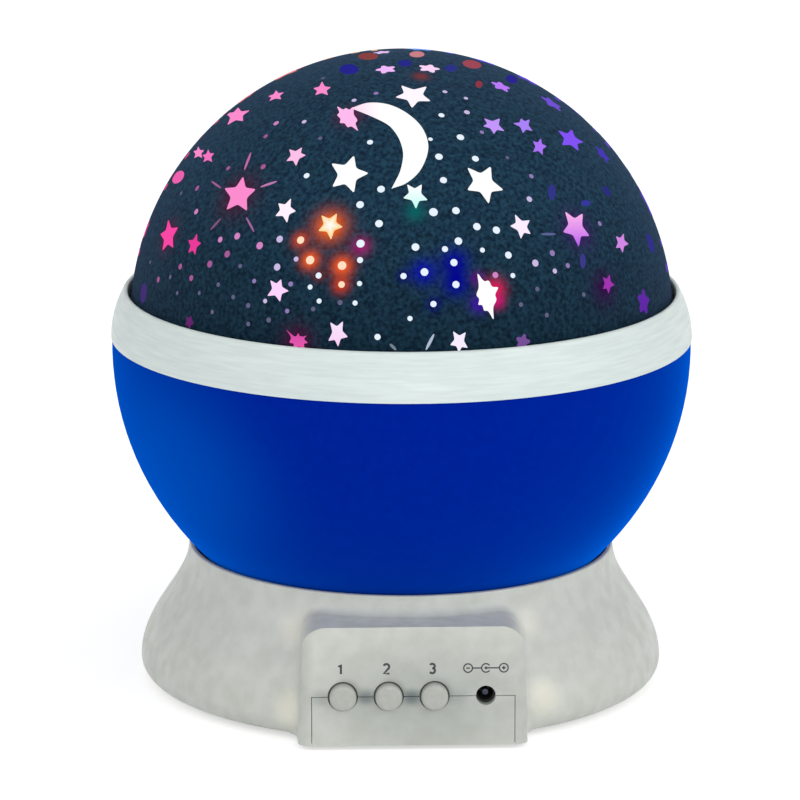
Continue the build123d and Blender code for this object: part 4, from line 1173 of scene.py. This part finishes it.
    def _windows(self, name: str, edges: np.ndarray, colours: np.ndarray) -> None:
        """Builds windows as closed plugs through the dome's wall, joined in one piece.

        A window's surface is a fan from its middle to an inner ring, a band to an outer ring, one
        down to the skin, the sides through the wall and a fan on the inside.

        Args:
            name: the piece's name.
            edges: for each window the unit directions round its edge.
            colours: for each window the colours of its edge points and, last, of its middle.
        """
        count, points = edges.shape[:2]
        middle = unit(edges.mean(axis=1, keepdims=True))
        turning = np.cross(edges, np.roll(edges, -1, axis=1)).sum(axis=1, keepdims=True)
        backwards = (turning * middle).sum(axis=-1)[..., 0] < 0
        edges = np.where(backwards[:, None, None], edges[:, ::-1], edges)
        rim = np.where(backwards[:, None, None], colours[:, -2::-1], colours[:, :-1])
        hub = colours[:, -1:]
        inner, outer = (unit(middle + ring * (edges - middle)) for ring in (INNER_RING, OUTER_RING))
        layers = (
            (middle * self.crown, hub),
            (inner * self.crown, INNER_RING * rim + (1 - INNER_RING) * hub),
            (outer * self.crown, rim),
            (edges * (self.radius - self.skin), rim),
            (edges * self.inside, rim),
            (middle * self.inside, hub),
        )
        places = np.concatenate([place for place, _ in layers], axis=1).reshape(-1, 3)
        tints = np.concatenate([tint for _, tint in layers], axis=1)
        base = np.arange(count)[:, None, None] * (4 * points + 2)
        step = np.arange(points)
        following = (step + 1) % points
        fan = np.stack((0 * step, 1 + step, 1 + following), -1)
        floor_start, floor_middle = 1 + 3 * points, 1 + 4 * points
        floor = np.stack((0 * step + floor_middle, floor_start + following, floor_start + step), -1)
        band = grid_quads(4, points, True)[:, (3, 2, 1, 0)] + 1
        piece = make_piece(
            name,
            places * MM + self.centre,
            (base + fan).reshape(-1, 3),
            (base + floor).reshape(-1, 3),
            (base + band).reshape(-1, 4),
        )
        self._light(piece, tints.reshape(-1, 4))

    def _light(self, piece: bpy.types.Object, tints: np.ndarray) -> None:
        """Gives a window piece its colours and its lit material, and puts it on the dome."""
        store_colours(piece, "tint", tints)
        piece.data.materials.append(self._lit_plastic())
        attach(piece, "dome")
        log.info("%s: %d faces", piece.name, len(piece.data.polygons))

    @staticmethod
    def _lit_plastic() -> bpy.types.Material:
        """Builds the clear window material, which shines in the colour stored on the piece."""
        known = bpy.data.materials.get("lit_window")
        if known is not None:
            return known
        material, tree, shader = new_material("lit_window")
        tint = add_node(tree, "Attribute", {}, attribute_name="tint")
        surface = {
            "Emission Color": tint.outputs["Color"],
            "Emission Strength": 1.0,
            "Base Color": (0.02, 0.02, 0.02, 1),
            "Roughness": 0.3,
            "Specular IOR Level": 0.0,
        }
        feed(tree, shader, surface)
        return material

    def _round_edges(self, middles: np.ndarray, reach: np.ndarray) -> np.ndarray:
        """Draws edges round middles on the dome.

        A point at angle a lies at the middle's direction times the cosine of its reach, plus the
        two level directions, mixed by cosine and sine of a, times the sine of its reach.

        Args:
            middles: unit directions of the windows' middles.
            reach: for each window the reach of each edge point, radians.

        Returns:
            Unit directions of the edge points.
        """
        angle = np.linspace(0, 2 * math.pi, reach.shape[1], endpoint=False)[None, :, None]
        level = unit(np.cross((0, 0.01, 1), middles))[:, None]
        upright = np.cross(middles[:, None], level)
        reach = reach[..., None]
        around = level * np.cos(angle) + upright * np.sin(angle)
        return middles[:, None] * np.cos(reach) + around * np.sin(reach)

    def _dots(self) -> None:
        """Builds the round windows that have a place in the picture."""
        rows = np.array([dot for group in DOTS.values() for dot in group])
        tones = np.array([light_of(tone) for tone, group in DOTS.items() for _ in group])
        reach = np.repeat(rows[:, 2:] / 2 * self.pixel, DOT_POINTS, axis=1)
        edges = self._round_edges(self._on_dome(rows[:, :2]), reach)
        self._windows("dot_windows", edges, np.repeat(tones[:, None], DOT_POINTS + 1, axis=1))

    def _crescent(self, length: int = 72, across: int = 6) -> None:
        """Builds the crescent: a strip between two smooth lines, closed through the wall."""
        outer, inner = (smooth_line(edge, length) for edge in (CRESCENT_OUTER, CRESCENT_INNER))
        share = np.linspace(0, 1, across)[:, None]
        face = self._on_dome(outer[:, None] * (1 - share) + inner[:, None] * share)
        loop = np.concatenate((face * self.crown, face[:, ::-1] * self.inside), axis=1)
        places = loop.reshape(-1, 3) * MM + self.centre
        points, quads, triangles = welded(places, grid_quads(length, 2 * across, True))
        piece = make_piece("crescent_window", points, quads, triangles)
        face_outwards(piece)
        tinted = CRESCENT_TINTED * np.ptp(points[:, 0])
        share = np.clip((points[:, :1] - points[:, 0].min()) / tinted, 0, 1)
        self._light(piece, light_of(CRESCENT_TINT) * (1 - share) + light_of(WHITE) * share)

    def _scatter(self) -> None:
        """Scatters stars and dots over the sides and the back, clear of each other and the collar."""
        draw = np.random.default_rng(self.seed)
        toward = unit(self.camera.eye - self.centre)
        kept: list[tuple[np.ndarray, float, BackWindows]] = []
        lowest = (self.collar_top - self.middle) / self.radius
        for attempt in range(self.scattered):
            kind = BACK_STARS if attempt < self.scattered / 3 else BACK_DOTS
            size = draw.uniform(kind.small, kind.large)
            way = unit(draw.normal(size=3))
            if way[2] < lowest + size + self.collar_margin or way @ toward > self.facing - size:
                continue
            angles = ((math.acos(min(1.0, way @ other)), reach) for other, reach, _ in kept)
            if all(angle > size + reach + kind.gap for angle, reach in angles):
                kept.append((way, size, kind))
        for kind in (BACK_STARS, BACK_DOTS):
            middles = np.array([way for way, _, found in kept if found is kind])
            sizes = np.array([size for _, size, found in kept if found is kind])[:, None]
            turn = draw.uniform(0, 2 * math.pi, (len(middles), 1))
            angle = np.linspace(0, 2 * math.pi, kind.points, endpoint=False)[None] + turn
            edges = self._round_edges(middles, sizes * (1 - kind.notch * (1 - np.cos(5 * angle))))
            tones = np.repeat(self._light_from(middles)[:, None], kind.points + 1, axis=1)
            self._windows(kind.name, edges, tones)

    @staticmethod
    def _light_from(ways: np.ndarray) -> np.ndarray:
        """Gives the lamp colour that leaves in each direction, blended between the named tones."""
        around = np.degrees(np.arctan2(ways[:, 1], ways[:, 0])) % 360
        stops = [stop for stop, _ in LAMP_TONES]
        linear = np.stack([light_of(tone) for _, tone in LAMP_TONES])
        return np.stack([np.interp(around, stops, linear[:, channel]) for channel in range(4)], -1)


# ---------------------------------------------------------------- marks on the panel
@dataclass
class PanelMarks:
    """Plain printed marks: numbers over the buttons and the sign of a centre-positive socket.

    Attributes:
        lean: slope of the panel's face, degrees.
        rise: height of the marks' middle above the buttons' axes, millimetres.
        height: height of a number, millimetres.
        stroke: width of a number's stroke, millimetres.
        fine: width of the socket sign's strokes, as a share of that.
        shift: how far the numbers stand to the left of their buttons' axes, millimetres.
        ring: radius of the socket sign's rings, millimetres.
        ring_place: from the plug's centre to the middle of a side ring, millimetres.
        sign: half the length of minus and plus, millimetres.
        dot: radius of the dot for the plug's centre, millimetres.
        dot_exit: where the line from the dot begins, millimetres.
        proud: how far the print stands on the face, millimetres.
    """

    lean: float = 4.0
    rise: float = 6.1
    height: float = 2.4
    stroke: float = 0.5
    fine: float = 0.6
    shift: float = 0.5
    ring: float = 0.95
    ring_place: float = 3.9
    sign: float = 0.4
    dot: float = 0.16
    dot_exit: float = 0.2
    proud: float = 0.02

    def build(self) -> None:
        """Prints every mark and joins them in one piece."""
        buttons = [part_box(f"button_cap_{letter}") for letter in "abc"]
        level = (buttons[0][0].z + buttons[0][1].z) / 2 / MM + self.rise
        strokes: list[tuple[np.ndarray, bool | None]] = []
        for number, (low, high) in zip((self._one(), self._two(), self._three()), buttons, strict=True):
            middle = ((low.x + high.x) / 2 / MM - self.shift, level)
            strokes += [(path * self.height + middle, None) for path in number]
        low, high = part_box("dc_jack")
        socket = ((low.x + high.x) / 2 / MM, level)
        strokes += [(path + socket, closed) for path, closed in self._polarity()]
        self._print(strokes)

    @staticmethod
    def _arc(middle: Pixel, radius: float, start: float, end: float, points: int = 17) -> np.ndarray:
        """Draws an arc: middle plus radius times cosine and sine of angles in degrees."""
        angle = np.radians(np.linspace(start, end, points))
        return np.asarray(middle) + radius * np.stack((np.cos(angle), np.sin(angle)), -1)

    def _one(self) -> list[np.ndarray]:
        """Draws the number one, one unit high, round its middle."""
        return [np.array(((-0.2, 0.24), (0.04, 0.44), (0.04, -0.44)))]

    def _two(self) -> list[np.ndarray]:
        """Draws the number two."""
        return [np.vstack((self._arc((0, 0.2), 0.25, 160, -35), (-0.24, -0.43), (0.27, -0.43)))]

    def _three(self) -> list[np.ndarray]:
        """Draws the number three."""
        return [np.vstack((self._arc((0, 0.21), 0.22, 150, -80), self._arc((0, -0.2), 0.24, 80, -150)))]

    def _polarity(self) -> list[tuple[np.ndarray, bool]]:
        """Draws minus and plus in rings, joined to an open ring with a dot for the plug's centre."""
        sides = [(side * self.ring_place, 0) for side in (-1, 1)]
        strokes = [(self._arc(middle, self.ring, 0, 345, 24), True) for middle in sides]
        strokes.append((self._arc((0, 0), self.ring, 35, 325, 24), False))
        strokes.append((self._arc((0, 0), self.dot, 0, 330, 12), True))
        near, far = self.ring_place - self.sign, self.ring_place + self.sign
        rim = self.ring_place - self.ring
        lines = (
            ((-far, 0), (-near, 0)),
            ((near, 0), (far, 0)),
            ((self.ring_place, -self.sign), (self.ring_place, self.sign)),
            ((-rim, 0), (-self.ring, 0)),
            ((self.dot_exit, 0), (rim, 0)),
        )
        return strokes + [(np.array(line), False) for line in lines]

    def _print(self, strokes: list[tuple[np.ndarray, bool | None]]) -> None:
        """Carries a flat band along each stroke and lays it on the leaning face.

        Left and right edges lie half a stroke's width from the path, square to its mean direction;
        the band has a top just above the face and a bottom just below it.

        Args:
            strokes: paths of x and height in millimetres, and whether each closes on itself, or
                None for an open stroke of full width.
        """
        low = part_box("base_shell")[0] / MM
        lean = math.radians(self.lean)
        out = np.array((0, -math.cos(lean), math.sin(lean)))
        places, faces, used = [], [], 0
        for path, closed in strokes:
            width = self.stroke if closed is None else self.stroke * self.fine
            before, after = np.roll(path, 1, axis=0), np.roll(path, -1, axis=0)
            if not closed:
                before[0], after[-1] = path[0], path[-1]
            along = unit(after - before)
            aside = np.stack((-along[:, 1], along[:, 0]), -1) * width / 2
            loop = np.stack((path + aside, path - aside, path - aside, path + aside), 1)
            lift = np.array((self.proud, self.proud, -self.proud, -self.proud))[None, :, None]
            x, z = loop[..., :1], loop[..., 1:]
            y = low.y + (z - low.z) * math.tan(lean)
            places.append((np.concatenate((x, y, z), -1) + out * lift).reshape(-1, 3))
            quads = grid_quads(len(path) + bool(closed), 4, True) % (4 * len(path))
            ends = np.array(((3, 2, 1, 0), tuple(4 * len(path) - 4 + k for k in range(4))))
            faces += [quads + used] if closed else [quads + used, ends + used]
            used += 4 * len(path)
        marks = make_piece("panel_marks", np.vstack(places) * MM, *faces, smooth=False)
        Finish("dark_grey_print", (48, 52, 56), (66, 70, 74), roughness=0.6, bump=0.004).dress(marks)
        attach(marks, "base")
        log.info("panel marks: %d strokes", len(strokes))


# ---------------------------------------------------------------- studio
@dataclass
class Studio:
    """Pale floor, soft lamps and an even white surround.

    Attributes:
        floor_radius: metres.
        floor_sides: number of its sides.
        floor_tone: share of light that it throws back.
        floor_lift: strength of its own light where it is seen directly.
        aim: height that the lamps face, metres.
        surround: strength of the even light.
        key: power of the large front lamp, watts.
        fill: power of the side lamp, watts.
        front: power of the low front lamp, watts.
    """

    floor_radius: float = 6.0
    floor_sides: int = 64
    floor_tone: float = 0.86
    floor_lift: float = 0.5
    aim: float = 0.07
    surround: float = 0.6
    key: float = 6.0
    fill: float = 3.0
    front: float = 5.4

    def build(self) -> None:
        """Makes the floor, the surround and the lamps."""
        self._floor()
        self._world()
        self._lamp("key_lamp", (1.15, -0.85, 0.85), 0.9, self.key)
        self._lamp("fill_lamp", (-1.2, -0.5, 0.8), 0.9, self.fill)
        self._lamp("front_lamp", (0.1, -1.5, 0.22), 0.6, self.front)
        bpy.context.scene.view_settings.view_transform = "Standard"

    def _seen_directly(self, tree: bpy.types.NodeTree) -> bpy.types.NodeSocket:
        """Gives 1 for rays from the camera, from gloss and through glass, and 0 for all others."""
        path = add_node(tree, "LightPath", {})
        total = path.outputs["Is Camera Ray"]
        for other in ("Is Glossy Ray", "Is Transmission Ray"):
            both = {0: total, 1: path.outputs[other]}
            total = add_node(tree, "Math", both, operation="ADD", use_clamp=True).outputs["Value"]
        return total

    def _floor(self) -> None:
        """Lays a round pale floor that adds a little of its own light where it is seen directly."""
        angle = np.linspace(0, 2 * math.pi, self.floor_sides, endpoint=False)
        rim = np.stack((np.cos(angle), np.sin(angle), 0 * angle), -1) * self.floor_radius
        floor = make_piece("floor", rim, np.arange(self.floor_sides)[None])
        material, tree, shader = new_material("pale_floor")
        lift = (self.floor_lift, self.floor_lift, self.floor_lift, 1)
        tones = {"Factor": self._seen_directly(tree), "A": (0, 0, 0, 1), "B": lift}
        surface = {
            "Base Color": (self.floor_tone, self.floor_tone, self.floor_tone, 1),
            "Roughness": 0.9,
            "Specular IOR Level": 0.0,
            "Emission Color": add_node(tree, "Mix", tones, data_type="RGBA").outputs["Result"],
            "Emission Strength": 1.0,
        }
        feed(tree, shader, surface)
        floor.data.materials.append(material)

    def _world(self) -> None:
        """Makes the surround: white where it is seen, softer where it lights."""
        world = bpy.data.worlds.new("white_surround")
        world.use_nodes = True
        bpy.context.scene.world = world
        tree = world.node_tree
        levels = {"Value": self._seen_directly(tree), "To Min": self.surround, "To Max": 1.0}
        strength = add_node(tree, "MapRange", levels).outputs["Result"]
        feed(tree, tree.nodes["Background"], {"Color": (1, 1, 1, 1), "Strength": strength})

    def _lamp(self, name: str, place: tuple[float, float, float], side: float, power: float) -> None:
        """Hangs a square soft lamp that faces the middle of the object.

        Args:
            name: the lamp's name.
            place: its centre, metres.
            side: its width, metres.
            power: watts.
        """
        light = bpy.data.lights.new(name, "AREA")
        light.energy, light.size = power, side
        lamp = bpy.data.objects.new(name, light)
        lamp.location = place
        toward = Vector((0, 0, self.aim)) - Vector(place)
        lamp.rotation_euler = toward.to_track_quat("-Z", "Y").to_euler()
        bpy.context.scene.collection.objects.link(lamp)


def main() -> None:
    """Dresses the frame and builds every piece in order."""
    camera = LampCamera()
    camera.build()
    dress_frame()
    StarDome(camera).build()
    PanelMarks().build()
    Studio().build()


if __name__ == "__main__":
    logging.basicConfig(level=logging.INFO, format="%(name)s: %(message)s")
    main()
